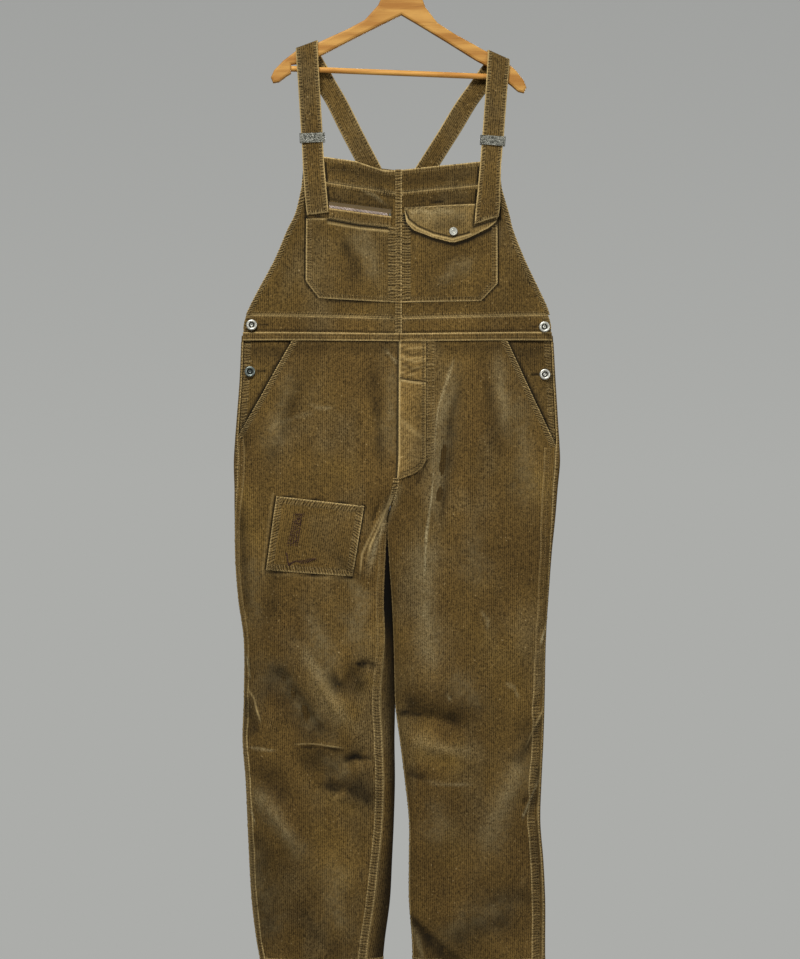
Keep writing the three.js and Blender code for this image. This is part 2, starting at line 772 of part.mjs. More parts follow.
// A flat rectangular loop that the strap runs through.
function slideGeometry() {
  const plate = new THREE.Shape();
  const w = slide.width / 2;
  const d = slide.depth / 2;
  const cut = 1;
  plate.moveTo(-w + cut, -d);
  plate.lineTo(w - cut, -d);
  plate.lineTo(w, -d + cut);
  plate.lineTo(w, d - cut);
  plate.lineTo(w - cut, d);
  plate.lineTo(-w + cut, d);
  plate.lineTo(-w, d - cut);
  plate.lineTo(-w, -d + cut);
  plate.closePath();
  const slot = new THREE.Path();
  const iw = slide.innerWidth / 2;
  const id = slide.innerDepth / 2;
  slot.moveTo(-iw, -id);
  slot.lineTo(-iw, id);
  slot.lineTo(iw, id);
  slot.lineTo(iw, -id);
  slot.closePath();
  plate.holes.push(slot);
  const geometry = new THREE.ExtrudeGeometry(plate, { depth: slide.height, bevelEnabled: false });
  geometry.translate(0, 0, -slide.height / 2);
  return geometry;
}

// A ring-shaped tack button or snap, seen along its axis.
function discGeometry(radius, height) {
  const profile = [
    new THREE.Vector2(0, 0),
    new THREE.Vector2(radius * 0.86, 0),
    new THREE.Vector2(radius, height * 0.45),
    new THREE.Vector2(radius * 0.86, height),
    new THREE.Vector2(radius * 0.45, height * 0.8),
    new THREE.Vector2(radius * 0.3, height * 0.55),
    new THREE.Vector2(0, height * 0.55),
  ];
  return new THREE.LatheGeometry(profile, 16);
}

function addDisc(name, side, place, radius, height) {
  const { x, z, lift } = place;
  const step = 1;
  const point = frontPoint(side, x, z);
  const across = frontPoint(side, x + step, z).sub(frontPoint(side, x - step, z));
  const up = frontPoint(side, x, z + step).sub(frontPoint(side, x, z - step));
  const normal = across.cross(up).normalize();
  const mesh = addPiece(name, discGeometry(radius, height), colours.oldSilver, 0.8);
  mesh.position.copy(point.addScaledVector(normal, lift));
  mesh.quaternion.setFromUnitVectors(new THREE.Vector3(0, 1, 0), normal);
}

function hangerBodyGeometry() {
  const outline = new THREE.Shape();
  const halfOutline = [...hangerTopEdge, ...hangerLowerEdge];
  outline.moveTo(...halfOutline[0]);
  for (const [x, z] of halfOutline.slice(1)) {
    outline.lineTo(x, z);
  }
  for (const [x, z] of halfOutline.slice(1, -1).reverse()) {
    outline.lineTo(-x, z);
  }
  outline.closePath();
  const geometry = new THREE.ExtrudeGeometry(outline, {
    depth: hangerThick - 2 * hangerBevel,
    bevelThickness: hangerBevel,
    bevelSize: hangerBevel,
    bevelOffset: -hangerBevel,
    bevelSegments: 2,
  });
  geometry.translate(0, 0, hangerBevel - hangerThick / 2);
  geometry.rotateX(Math.PI / 2);
  geometry.translate(neckShift, 0, 0);
  return geometry;
}

function hookGeometry() {
  const path = new THREE.CatmullRomCurve3(hookPath.map(([x, z]) => new THREE.Vector3(x, 0, z)));
  const section = new THREE.Shape();
  const sides = 8;
  for (let k = 0; k < sides; k += 1) {
    const angle = 2 * Math.PI * k / sides;
    const point = [hookWire * Math.cos(angle), hookWire * Math.sin(angle)];
    if (k === 0) {
      section.moveTo(...point);
    } else {
      section.lineTo(...point);
    }
  }
  section.closePath();
  return new THREE.ExtrudeGeometry(section, { steps: 30, extrudePath: path, bevelEnabled: false });
}

// Trousers
for (const side of ["right", "left"]) {
  addPiece(`leg_front_${side}`, legFront(side), colours.clothLeg);
  addPiece(`leg_back_${side}`, legBack(side), colours.clothLeg);
  addPiece(`hip_stay_${side}`, hipStay(side), colours.clothHip);
  addPiece(`waistband_front_${side}`, waistbandFront(side), colours.clothBand);
}
addPiece("waistband_back", waistbandBack(), colours.clothBand);
addPiece(
  "fly_placket",
  frontSheet("left", flyRows, { rowSteps: 12, columnSteps: 3, ...layers.fly }),
  colours.clothFly,
);
addPiece(
  "thigh_patch",
  frontSheet("right", patchRows, { rowSteps: 8, columnSteps: 10, ...layers.patch }),
  colours.clothPatch,
);

// Bib, its pockets and the yoke behind
for (const side of ["right", "left"]) {
  addPiece(`bib_${side}`, bibPanel(side), colours.clothBib);
  addPiece(`bib_band_${side}`, bibBand(side), colours.clothBib);
  addPiece(
    `chest_pocket_${side}`,
    frontSheet(side, pocketRows[side], { rowSteps: 8, columnSteps: 9, ...layers.pocket }),
    colours.clothBib,
  );
}
addPiece(
  "pocket_zip_tape",
  frontSheet("right", zipTapeRows, { rowSteps: 1, columnSteps: 6, ...layers.tape }),
  colours.tape,
);
addPiece(
  "pocket_zip_welt",
  frontSheet("right", zipWeltRows, { rowSteps: 2, columnSteps: 8, ...layers.welt }),
  colours.clothBand,
);
addPiece(
  "pocket_flap",
  frontSheet("left", flapRows, { rowSteps: 10, columnSteps: 8, ...layers.flap }),
  colours.clothFlap,
);
addPiece("back_yoke", backYoke(), colours.clothBib);

// Straps and slides
for (const side of ["right", "left"]) {
  addPiece(`strap_tab_${side}`, strapTab(side), colours.clothStrap);
  addPiece(`shoulder_strap_${side}`, longStrap(side), colours.clothStrap);
  const place = slidePlaces[side];
  const loop = addPiece(`strap_slide_${side}`, slideGeometry(), colours.oldSilver, 0.8);
  loop.position.set(place.x, place.y, place.z);
  loop.rotation.y = THREE.MathUtils.degToRad(-place.turn);
}

// Buttons and snap
for (const place of buttonPlaces) {
  addDisc(place.name, place.x < 0 ? "right" : "left", place, buttonRadius, buttonHeight);
}
addDisc("flap_snap", "left", snapPlace, snapRadius, snapHeight);

// Hanger
const hanger = new THREE.Group();
hanger.rotation.y = THREE.MathUtils.degToRad(hangerTilt);
garment.add(hanger);
const hangerBody = addPiece("hanger_body", hangerBodyGeometry(), colours.wood);
const barGeometry = new THREE.CylinderGeometry(barRadius, barRadius, 2 * barHalf, 16);
barGeometry.rotateZ(Math.PI / 2);
const bar = addPiece("hanger_bar", barGeometry, colours.wood);
bar.position.set(neckShift, 0, barHeight);
const hook = addPiece("hanger_hook", hookGeometry(), colours.wire, 0.9);
hanger.add(hangerBody, bar, hook);

export default garment;
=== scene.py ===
"""Worn corduroy bib overalls that hang by crossed straps from a wooden hanger.

The tables are in millimetres. "right" is the wearer's right, at -X, and the front faces -Y.
"""
import math

import bpy
import numpy as np
from mathutils import Matrix, Vector


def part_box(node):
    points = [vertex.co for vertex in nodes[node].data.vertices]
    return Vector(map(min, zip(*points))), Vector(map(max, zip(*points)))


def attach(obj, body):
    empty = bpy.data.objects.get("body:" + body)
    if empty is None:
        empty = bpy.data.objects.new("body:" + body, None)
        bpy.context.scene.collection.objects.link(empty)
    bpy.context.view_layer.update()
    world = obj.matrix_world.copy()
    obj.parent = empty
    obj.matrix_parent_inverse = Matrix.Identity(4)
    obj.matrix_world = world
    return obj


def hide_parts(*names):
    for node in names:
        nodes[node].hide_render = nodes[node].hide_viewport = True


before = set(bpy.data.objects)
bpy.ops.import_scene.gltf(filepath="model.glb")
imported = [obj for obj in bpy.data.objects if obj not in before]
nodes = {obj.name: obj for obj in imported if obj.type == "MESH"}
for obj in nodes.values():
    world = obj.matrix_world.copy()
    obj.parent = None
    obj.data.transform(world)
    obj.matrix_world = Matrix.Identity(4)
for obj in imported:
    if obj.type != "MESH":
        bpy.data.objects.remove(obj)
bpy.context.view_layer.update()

METRE = 0.001
BODY = "root"

# Cloth
WALE = 3.45
WALE_RELIEF = 0.2
CLOTH_WALL = 1.4
PUCKER = 7.6
TICK = 4.7
THREAD = 0.46
THREAD_RISE = 0.3
STITCH = 3.1
FACING = {"right": 1, "left": -1}
SIDES = ("right", "left")

# Driving sizes
SECTION_POWER = 2.5
SEAM_GAP = 0.3
WAIST_OUTER = -641
WAIST_DROP = 4.5
WAIST_DROP_END = -760
BELT_OUTER = -607.5
BELT_DROP = 7
CROTCH = -942
CROTCH_RISE = 85
HEM = -1691
STAY_DEPTH = 3.4
STAY_UNDERLAP = 12
STRAP_WALL = 2.8
BAND_CORNER = 5


def table(names, *rows):
    """A short table with named columns."""
    return dict(zip(names.split(), np.array(rows, float).T))


TROUSERS = table(
    "z right left middle split",
    (-641, -261, 252, -1, 0),
    (-715, -264, 256, -2, 0),
    (-780, -269, 260, -2.5, 0),
    (-846, -274, 264, -3, 0),
    (-893, -273, 260, -7, 0),
    (-942, -272, 256, -20, 0),
    (-1011, -271, 249, -18, 0),
    (-1077, -266, 244, -13.5, 0),
    (-1143, -257, 240, -10.7, 0),
    (-1242, -257, 238, -8.2, 0),
    (-1308, -259, 236, -4.5, 9),
    (-1374, -254, 233, 0, 16.5),
    (-1440, -251, 231, 2.5, 25),
    (-1506, -248, 236, 1, 28),
    (-1572, -244, 239, -0.7, 31.5),
    (-1638, -236, 239, -2.5, 45),
    (-1691, -226, 239, -4.5, 51),
)
DEPTHS = table(
    "z front back",
    (-300, 10.5, 13),
    (-500, 18, 20),
    (-641, 27, 28),
    (-780, 34, 40),
    (-893, 37, 43),
    (-1011, 36, 40),
    (-1242, 33, 35),
    (-1506, 30, 31),
    (-1691, 27, 28),
)
SEAMS = table(
    "z rightOuter leftOuter rightInner leftInner",
    (-641, 3, 3, 0, 0),
    (-807, 5, 5, 0, 0),
    (-846, 9, 9, 0, 0),
    (-942, 2, 7, 0, 0),
    (-1011, 1, 4, 6, 0),
    (-1077, 1, 2, 13, 0),
    (-1143, 1, 2, 14, 0),
    (-1242, 1, 3, 24, 0),
    (-1308, 1, 3, 20, 0),
    (-1440, 1, 4, 19, 0),
    (-1572, 1, 4, 26, 0),
    (-1691, 1, 5, 28, 0),
)
BIB = table(
    "z right left",
    (-385, -161, 166),
    (-401, -163, 168),
    (-442, -173, 180),
    (-467, -185, 186),
    (-516, -206, 205),
    (-566, -233, 229),
    (-591, -246, 241),
    (-607.5, -254, 247),
)
YOKE_CENTRE = -5
YOKE = table(
    "z half",
    (-505, 64),
    (-535, 86),
    (-560, 125),
    (-585, 185),
    (-600, 232),
    (-607.5, 250),
)
POCKET_MOUTH = {
    "right": {"topX": -175, "topZ": -650, "endX": -266, "endZ": -807},
    "left": {"topX": 174, "topZ": -650, "endX": 256, "endZ": -822},
}
BAND_SEAM = {"right": {"outerZ": -384, "drop": 25}, "left": {"outerZ": -391, "drop": 16}}
BAND_TOP = {
    "right": [(-158, -346.5), (-122, -348), (-73, -355), (-26, -371), (-1, -370.5)],
    "left": [(162, -352.5), (130, -356), (60, -363), (-1, -370)],
}

# Pieces on the front: each row runs from the outer edge to the middle
POCKET_ROWS = {
    "right": [
        [(-154, -450), (-119, -450), (-68, -459), (-20, -463.5), (-1.5, -464)],
        [(-154.5, -500), (-1.5, -512)],
        [(-154.5, -553), (-1.5, -566)],
        [(-144, -567), (-1.5, -578)],
        [(-133, -581.5), (-1.5, -589)],
    ],
    "left": [
        [(160, -441), (-0.5, -441)],
        [(160, -500), (-0.5, -505)],
        [(160, -557), (-0.5, -562)],
        [(147, -571), (-0.5, -577)],
        [(133, -586), (-0.5, -589)],
    ],
}
TAPE_ROWS = [[(-117, -422), (-14, -435)], [(-117, -433), (-14, -446.5)]]
WELT_ROWS = [
    [(-117, -433), (-14, -446.5)],
    [(-117, -450), (-68, -459), (-20, -463.5), (-14, -463.7)],
]
FLAP_ROWS = [
    [(162, -424), (7, -432)],
    [(162, -443), (7, -438)],
    [(158, -455.5), (10.5, -456.5)],
    [(145, -466.5), (21.5, -469.5)],
    [(113, -482), (54, -482)],
    [(90, -489.6), (82, -489.6)],
]
FLY_ROWS = [
    [(43, -648), (-0.4, -648)],
    [(43, -848), (-2.2, -848)],
    [(36, -861), (-3.2, -862)],
    [(22, -870), (-4.2, -871)],
    [(3, -877), (-5.2, -878.5)],
]
PATCH_ROWS = [[(-202, -906), (-58.5, -922)], [(-219, -1027), (-77.5, -1037)]]
TAB_ROWS = {
    "right": table(
        "outerX outerZ innerX innerZ lift",
        (-153, -444.5, -117, -440, 0.7),
        (-157, -405, -120.5, -403, 0.7),
        (-160, -360, -124.5, -360, 0.7),
        (-162, -317, -127, -317, 0.7),
    ),
    "left": table(
        "outerX outerZ innerX innerZ lift",
        (162, -447, 122, -460, 4.5),
        (164, -420, 125, -425, 4.5),
        (165, -400, 127.5, -403, 1.2),
        (166.5, -360, 131.5, -360, 0.7),
        (170, -322, 134.5, -322, 0.7),
    ),
}

# Folds in the solids as well: face, half width, height and path
LARGE_FOLDS = [
    ("front", 16, 5, [(88, -690), (59, -782), (54, -871), (44, -944), (41, -1011)]),
    ("front", 22, 3.5, [(162, -703), (181, -822)]),
    ("front", 26, 3.5, [(-177, -690), (-222, -863)]),
    ("front", 24, -8, [(-212, -1178), (-149, -1262), (-130, -1299)]),
    ("front", 28, 6, [(-173, -1185), (-78, -1284)]),
    ("front", 18, -6, [(-96, -1212), (-60, -1184)]),
    ("front", 20, -5, [(-137, -1348), (-76, -1334)]),
    ("front", 28, 5, [(-215, -1393), (-152, -1506)]),
    ("front", 22, -5, [(-200, -1480), (-192, -1648)]),
    ("front", 18, -6, [(22, -1269), (92, -1287)]),
    ("front", 20, 4, [(26, -1304), (110, -1312)]),
    ("front", 26, 4, [(206, -1341), (129, -1506)]),
    ("front", 18, -4, [(38, -1606), (86, -1650)]),
    ("front", 20, 5, [(-44, -935), (-70, -1000)]),
    ("back", 22, -6, [(-48, -905), (-165, -985)]),
    ("back", 22, -6, [(30, -912), (150, -978)]),
    ("back", 26, 6, [(-60, -960), (-150, -1060)]),
    ("back", 24, -7, [(-215, -1215), (-95, -1262)]),
    ("back", 24, -6, [(60, -1240), (190, -1206)]),
    ("back", 26, 5, [(70, -1290), (180, -1330)]),
    ("back", 26, 4, [(-190, -1340), (-90, -1420)]),
]
FOLD_EDGE_MARGIN = 26
FOLD_END_SHARE = 0.3
FOLD_END_HEIGHT = 0.35


def mix(a, b, share):
    return a + (b - a) * share


def smooth(value):
    t = np.clip(value, 0, 1)
    return t * t * (3 - 2 * t)


def size_at(sizes, name, z):
    """Smooth value of one column of a table at heights z; the rows run downwards."""
    depth = -sizes["z"]
    values = sizes[name]
    last = len(depth) - 1
    rows = np.arange(last + 1)
    lower = np.maximum(rows - 1, 0)
    upper = np.minimum(rows + 1, last)
    slopes = (values[upper] - values[lower]) / (depth[upper] - depth[lower])
    at = np.clip(-np.asarray(z, float), depth[0], depth[-1])
    k = np.clip(np.searchsorted(depth, at, side="right") - 1, 0, last - 1)
    step = depth[k + 1] - depth[k]
    t = (at - depth[k]) / step
    ease_in = (t**3 - 2 * t**2 + t) * step * slopes[k]
    ease_out = (t**3 - t**2) * step * slopes[k + 1]
    rise = 3 * t**2 - 2 * t**3
    return (1 - rise) * values[k] + ease_in + rise * values[k + 1] + ease_out


def edges_at(side, z):
    """Outer and inner line of one side; above the waist the section keeps the waist's width."""
    height = np.minimum(z, WAIST_OUTER)
    reach = np.maximum(0, size_at(TROUSERS, "split", height)) / 2 + SEAM_GAP / 2
    middle = size_at(TROUSERS, "middle", height)
    inner = middle - reach if side == "right" else middle + reach
    return size_at(TROUSERS, side, height), inner


def near_path(path, x, z):
    """Distance to a path, the share of its length before the nearest place, and the side."""
    nearest = np.full(np.shape(x), np.inf)
    on_right = np.zeros(np.shape(x), bool)
    walk = np.zeros(np.shape(x))
    walked = 0
    for (x1, z1), (x2, z2) in zip(path, path[1:]):
        length = math.hypot(x2 - x1, z2 - z1)
        held = np.clip(((x - x1) * (x2 - x1) + (z - z1) * (z2 - z1)) / length, 0, length)
        share = held / length
        distance = np.hypot(x - mix(x1, x2, share), z - mix(z1, z2, share))
        closer = distance < nearest
        nearest = np.where(closer, distance, nearest)
        walk = np.where(closer, walked + held, walk)
        right = (x2 - x1) * (z - z1) < (z2 - z1) * (x - x1)
        on_right = np.where(closer, right, on_right)
        walked += length
    return nearest, walk / walked, on_right


# Smaller creases, made here only: face, half width, height and path
CREASES = [
    ("front", 7, 1.8, [(92, -684), (74, -724), (62, -770), (57, -822)]),
    ("front", 9, -1.8, [(76, -800), (66, -870), (60, -940), (58, -1000)]),
    ("front", 10, -1.4, [(40, -760), (36, -840), (28, -905)]),
    ("front", 6, 1.0, [(176, -688), (190, -760), (196, -800)]),
    ("front", 10, -1.2, [(150, -690), (166, -760), (172, -830)]),
    ("front", 8, 1.0, [(-176, -680), (-204, -760), (-238, -860)]),
    ("front", 9, -1.0, [(-150, -700), (-190, -800)]),
    ("front", 7, 0.9, [(-60, -668), (-34, -720), (-22, -790)]),
    ("front", 6, -1.1, [(-30, -660), (-10, -690)]),
    ("front", 5, 1.2, [(-25, -664), (-4, -690)]),
    ("front", 5, 1.6, [(-8, -862), (-28, -925), (-50, -1005)]),
    ("front", 6, -1.4, [(-14, -880), (-40, -930), (-64, -1010)]),
    ("front", 8, 1.2, [(-36, -1000), (-30, -1080), (-28, -1170)]),
    ("front", 10, -1.3, [(-58, -1020), (-50, -1120), (-62, -1190)]),
    ("front", 15, -3.6,
     [(-229, -1180), (-193, -1204), (-172, -1234), (-152, -1267), (-118, -1300)], -0.35),
    ("front", 15, 3.0,
     [(-176, -1147), (-152, -1176), (-130, -1213), (-94, -1267), (-60, -1288)], 0.3),
    ("front", 10, -3.0, [(-112, -1190), (-99, -1216), (-79, -1209), (-50, -1190)], -0.4),
    ("front", 6, -2.4, [(-76, -1180), (-53, -1177), (-30, -1187)], -0.5),
    ("front", 8, 2.2, [(-80, -1226), (-56, -1202), (-34, -1198)]),
    ("front", 4, 1.6, [(-172, -1312), (-152, -1310), (-130, -1312), (-89, -1318)]),
    ("front", 12, -2.6, [(-160, -1330), (-130, -1352), (-106, -1380), (-80, -1384)], 0.5),
    ("front", 8, 2.0, [(-135, -1384), (-106, -1400), (-80, -1398), (-48, -1424)]),
    ("front", 7, -2.6, [(-98, -1343), (-73, -1333), (-41, -1337)], 0.4),
    ("front", 8, 1.8, [(-84, -1356), (-62, -1356), (-42, -1354)]),
    ("front", 5, -1.8, [(-256, -1166), (-250, -1204), (-244, -1222)]),
    ("front", 5, 1.8, [(-252, -1160), (-246, -1204), (-240, -1232)]),
    ("front", 8, -2.4, [(-256, -1232), (-242, -1262), (-232, -1292)], -0.4),
    ("front", 5, 1.8, [(-252, -1221), (-239, -1237), (-234, -1259), (-228, -1278)]),
    ("front", 13, 2.4, [(-246, -1374), (-226, -1407), (-196, -1440), (-170, -1480), (-150, -1510)]),
    ("front", 14, -2.2, [(-214, -1350), (-190, -1390), (-160, -1420)]),
    ("front", 14, -2.2, [(-240, -1450), (-222, -1530), (-206, -1630)]),
    ("front", 8, 1.2, [(-120, -1460), (-96, -1560), (-92, -1650)]),
    ("front", 8, -1.4, [(-76, -1420), (-64, -1500), (-60, -1600)]),
    ("front", 12, -3.0, [(-4, -1262), (33, -1260), (78, -1274), (118, -1282)], 0.45),
    ("front", 14, 2.2, [(6, -1300), (54, -1318), (112, -1330)]),
    ("front", 6, -1.6, [(6, -1358), (38, -1369), (64, -1370)], 0.4),
    ("front", 4, 1.6, [(239, -1118), (232, -1150)]),
    ("front", 5, -1.6, [(234, -1112), (224, -1152)]),
    ("front", 5, 2.0, [(238, -1250), (214, -1297), (198, -1330)]),
    ("front", 8, -2.2, [(232, -1230), (208, -1280), (190, -1316)], -0.3),
    ("front", 5, 1.8, [(230, -1366), (214, -1402), (200, -1436)]),
    ("front", 8, -1.8, [(232, -1392), (220, -1420), (206, -1460)]),
    ("front", 15, 2.2, [(198, -1330), (176, -1386), (148, -1440), (134, -1500)]),
    ("front", 14, -1.8, [(222, -1330), (206, -1380), (186, -1440)]),
    ("front", 9, -2.8, [(16, -1592), (42, -1622), (78, -1655), (110, -1668)], -0.4),
    ("front", 8, 1.8, [(20, -1616), (36, -1650), (44, -1680)]),
    ("front", 14, -1.6, [(120, -1572), (180, -1566), (228, -1570)]),
    ("front", 9, -1.0, [(120, -960), (132, -1080), (128, -1180)]),
    ("front", 9, 0.9, [(84, -980), (92, -1090), (96, -1200)]),
    ("front", 10, -0.9, [(-190, -1040), (-196, -1130)]),
    ("front", 9, 0.8, [(-120, -1060), (-128, -1150)]),
    ("front", 6, -1.2, [(236, -770), (246, -830), (244, -884)]),
    ("front", 6, 1.0, [(224, -800), (232, -860), (236, -920)]),
    ("front", 7, 1.2, [(-60, -452), (-48, -480), (-34, -520), (-24, -548)]),
    ("front", 8, -1.2, [(-92, -470), (-74, -510), (-60, -552)]),
    ("front", 5, 1.3, [(-66, -402), (-44, -411), (-20, -429)]),
    ("front", 6, 1.1, [(60, -560), (96, -534), (124, -516)]),
    ("front", 6, -1.1, [(46, -540), (84, -518), (112, -500)]),
    ("front", 7, 1.0, [(-236, -574), (-200, -548), (-172, -500)]),
    ("front", 7, -0.9, [(190, -500), (206, -540), (224, -582)]),
    ("front", 5, 0.8, [(-120, -356), (-84, -362), (-60, -372)]),
    ("front", 5, -0.9, [(-118, -370), (-92, -374), (-64, -380)]),
    ("front", 5, 0.8, [(40, -384), (84, -378), (112, -380)]),
    ("front", 6, -1.0, [(-238, -660), (-206, -668), (-186, -690)]),
    ("front", 5, 0.9, [(-244, -676), (-214, -684), (-196, -700)]),
    ("front", 6, -1.0, [(236, -672), (210, -668), (192, -660)]),
    ("front", 5, 0.9, [(228, -700), (214, -690), (200, -676)]),
    ("back", 14, 2.0, [(-120, -700), (-110, -800), (-60, -900)]),
    ("back", 14, -2.0, [(-70, -690), (-64, -790), (-30, -880)]),
    ("back", 14, 2.0, [(110, -700), (100, -800), (50, -900)]),
    ("back", 14, -2.0, [(64, -700), (56, -800), (24, -880)]),
    ("back", 10, -2.0, [(-230, -880), (-150, -930), (-60, -950)]),
    ("back", 9, 1.8, [(-236, -920), (-160, -960), (-60, -985)]),
    ("back", 10, -2.0, [(220, -890), (150, -936), (40, -955)]),
    ("back", 9, 1.8, [(226, -930), (150, -966), (50, -990)]),
    ("back", 10, -1.8, [(-232, -1196), (-170, -1236), (-90, -1240)]),
    ("back", 9, 1.8, [(-226, -1232), (-160, -1262), (-60, -1290)]),
    ("back", 10, -1.8, [(30, -1262), (120, -1236), (214, -1190)]),
    ("back", 9, 1.8, [(40, -1300), (120, -1272), (206, -1244)]),
    ("back", 10, 1.4, [(-180, -1400), (-130, -1480), (-120, -1600)]),
    ("back", 10, -1.4, [(120, -1400), (150, -1500), (160, -1600)]),
    ("back", 9, 1.2, [(-170, -560), (-90, -585), (-20, -590)]),
    ("back", 9, -1.2, [(160, -570), (90, -588), (20, -594)]),
]


def near_fold(path, reach, x, z, lean=0.0):
    """The points within reach of a path, their distance to it and their share of its length.

    A lean makes the side on the right of the path's direction steeper, or the left one below 0.
    """
    reach = reach / (1 - abs(lean))
    xs, zs = zip(*path)
    chosen = (x > min(xs) - reach) & (x < max(xs) + reach) & (z > min(zs) - reach) & (z < max(zs) + reach)
    nearest, share, on_right = near_path(path, x[chosen], z[chosen])
    return chosen, nearest * np.where(on_right, 1 + lean, 1 - lean), share


def crumple(x, z, seed, size):
    """Soft unevenness of the hanging cloth, in millimetres."""
    rng = np.random.default_rng(seed)
    height = np.zeros(np.shape(x))
    for length, share in ((150, 0.5), (90, 0.4), (52, 0.28), (30, 0.16), (19, 0.1)):
        for _ in range(3):
            angle = rng.uniform(0, math.pi)
            shift = rng.uniform(0, 2 * math.pi)
            wave = (x * math.cos(angle) + 0.6 * z * math.sin(angle)) * 2 * math.pi / length
            height += share * np.sin(wave + shift + 1.2 * np.sin(z / 71 + shift))
    return height * size


CRUMPLE_SEED = {"front": 5, "back": 6}
CRUMPLE_SIZE = 0.9
CREASE_SCALE = 1.5


def fold_height(face, x, z, edge_distance):
    """Height of the folds, creases and unevenness of one face."""
    height = np.zeros(np.shape(x))
    for where, width, size, path in LARGE_FOLDS:
        if where == face:
            chosen, nearest, share = near_fold(path, 3 * width, x, z)
            ends = smooth(np.minimum(share, 1 - share) / FOLD_END_SHARE)
            height[chosen] += size * mix(FOLD_END_HEIGHT, 1, ends) * np.exp(-((nearest / width) ** 2))
    height *= smooth(edge_distance / FOLD_EDGE_MARGIN)
    for number, (where, width, size, path, *lean) in enumerate(CREASES):
        if where == face:
            chosen, nearest, share = near_fold(path, 3 * width, x, z, *lean)
            ends = smooth(np.minimum(share, 1 - share) / FOLD_END_SHARE)
            uneven = 1 + 0.3 * np.sin(9 * share + number) + 0.15 * np.sin(23 * share + 2 * number)
            wide = width * (1 + 0.25 * np.sin(7 * share + 3 * number))
            height[chosen] += CREASE_SCALE * size * uneven * ends * np.exp(-((nearest / wide) ** 2))
    return height + crumple(x, z, CRUMPLE_SEED[face], CRUMPLE_SIZE) * smooth(edge_distance / 12)


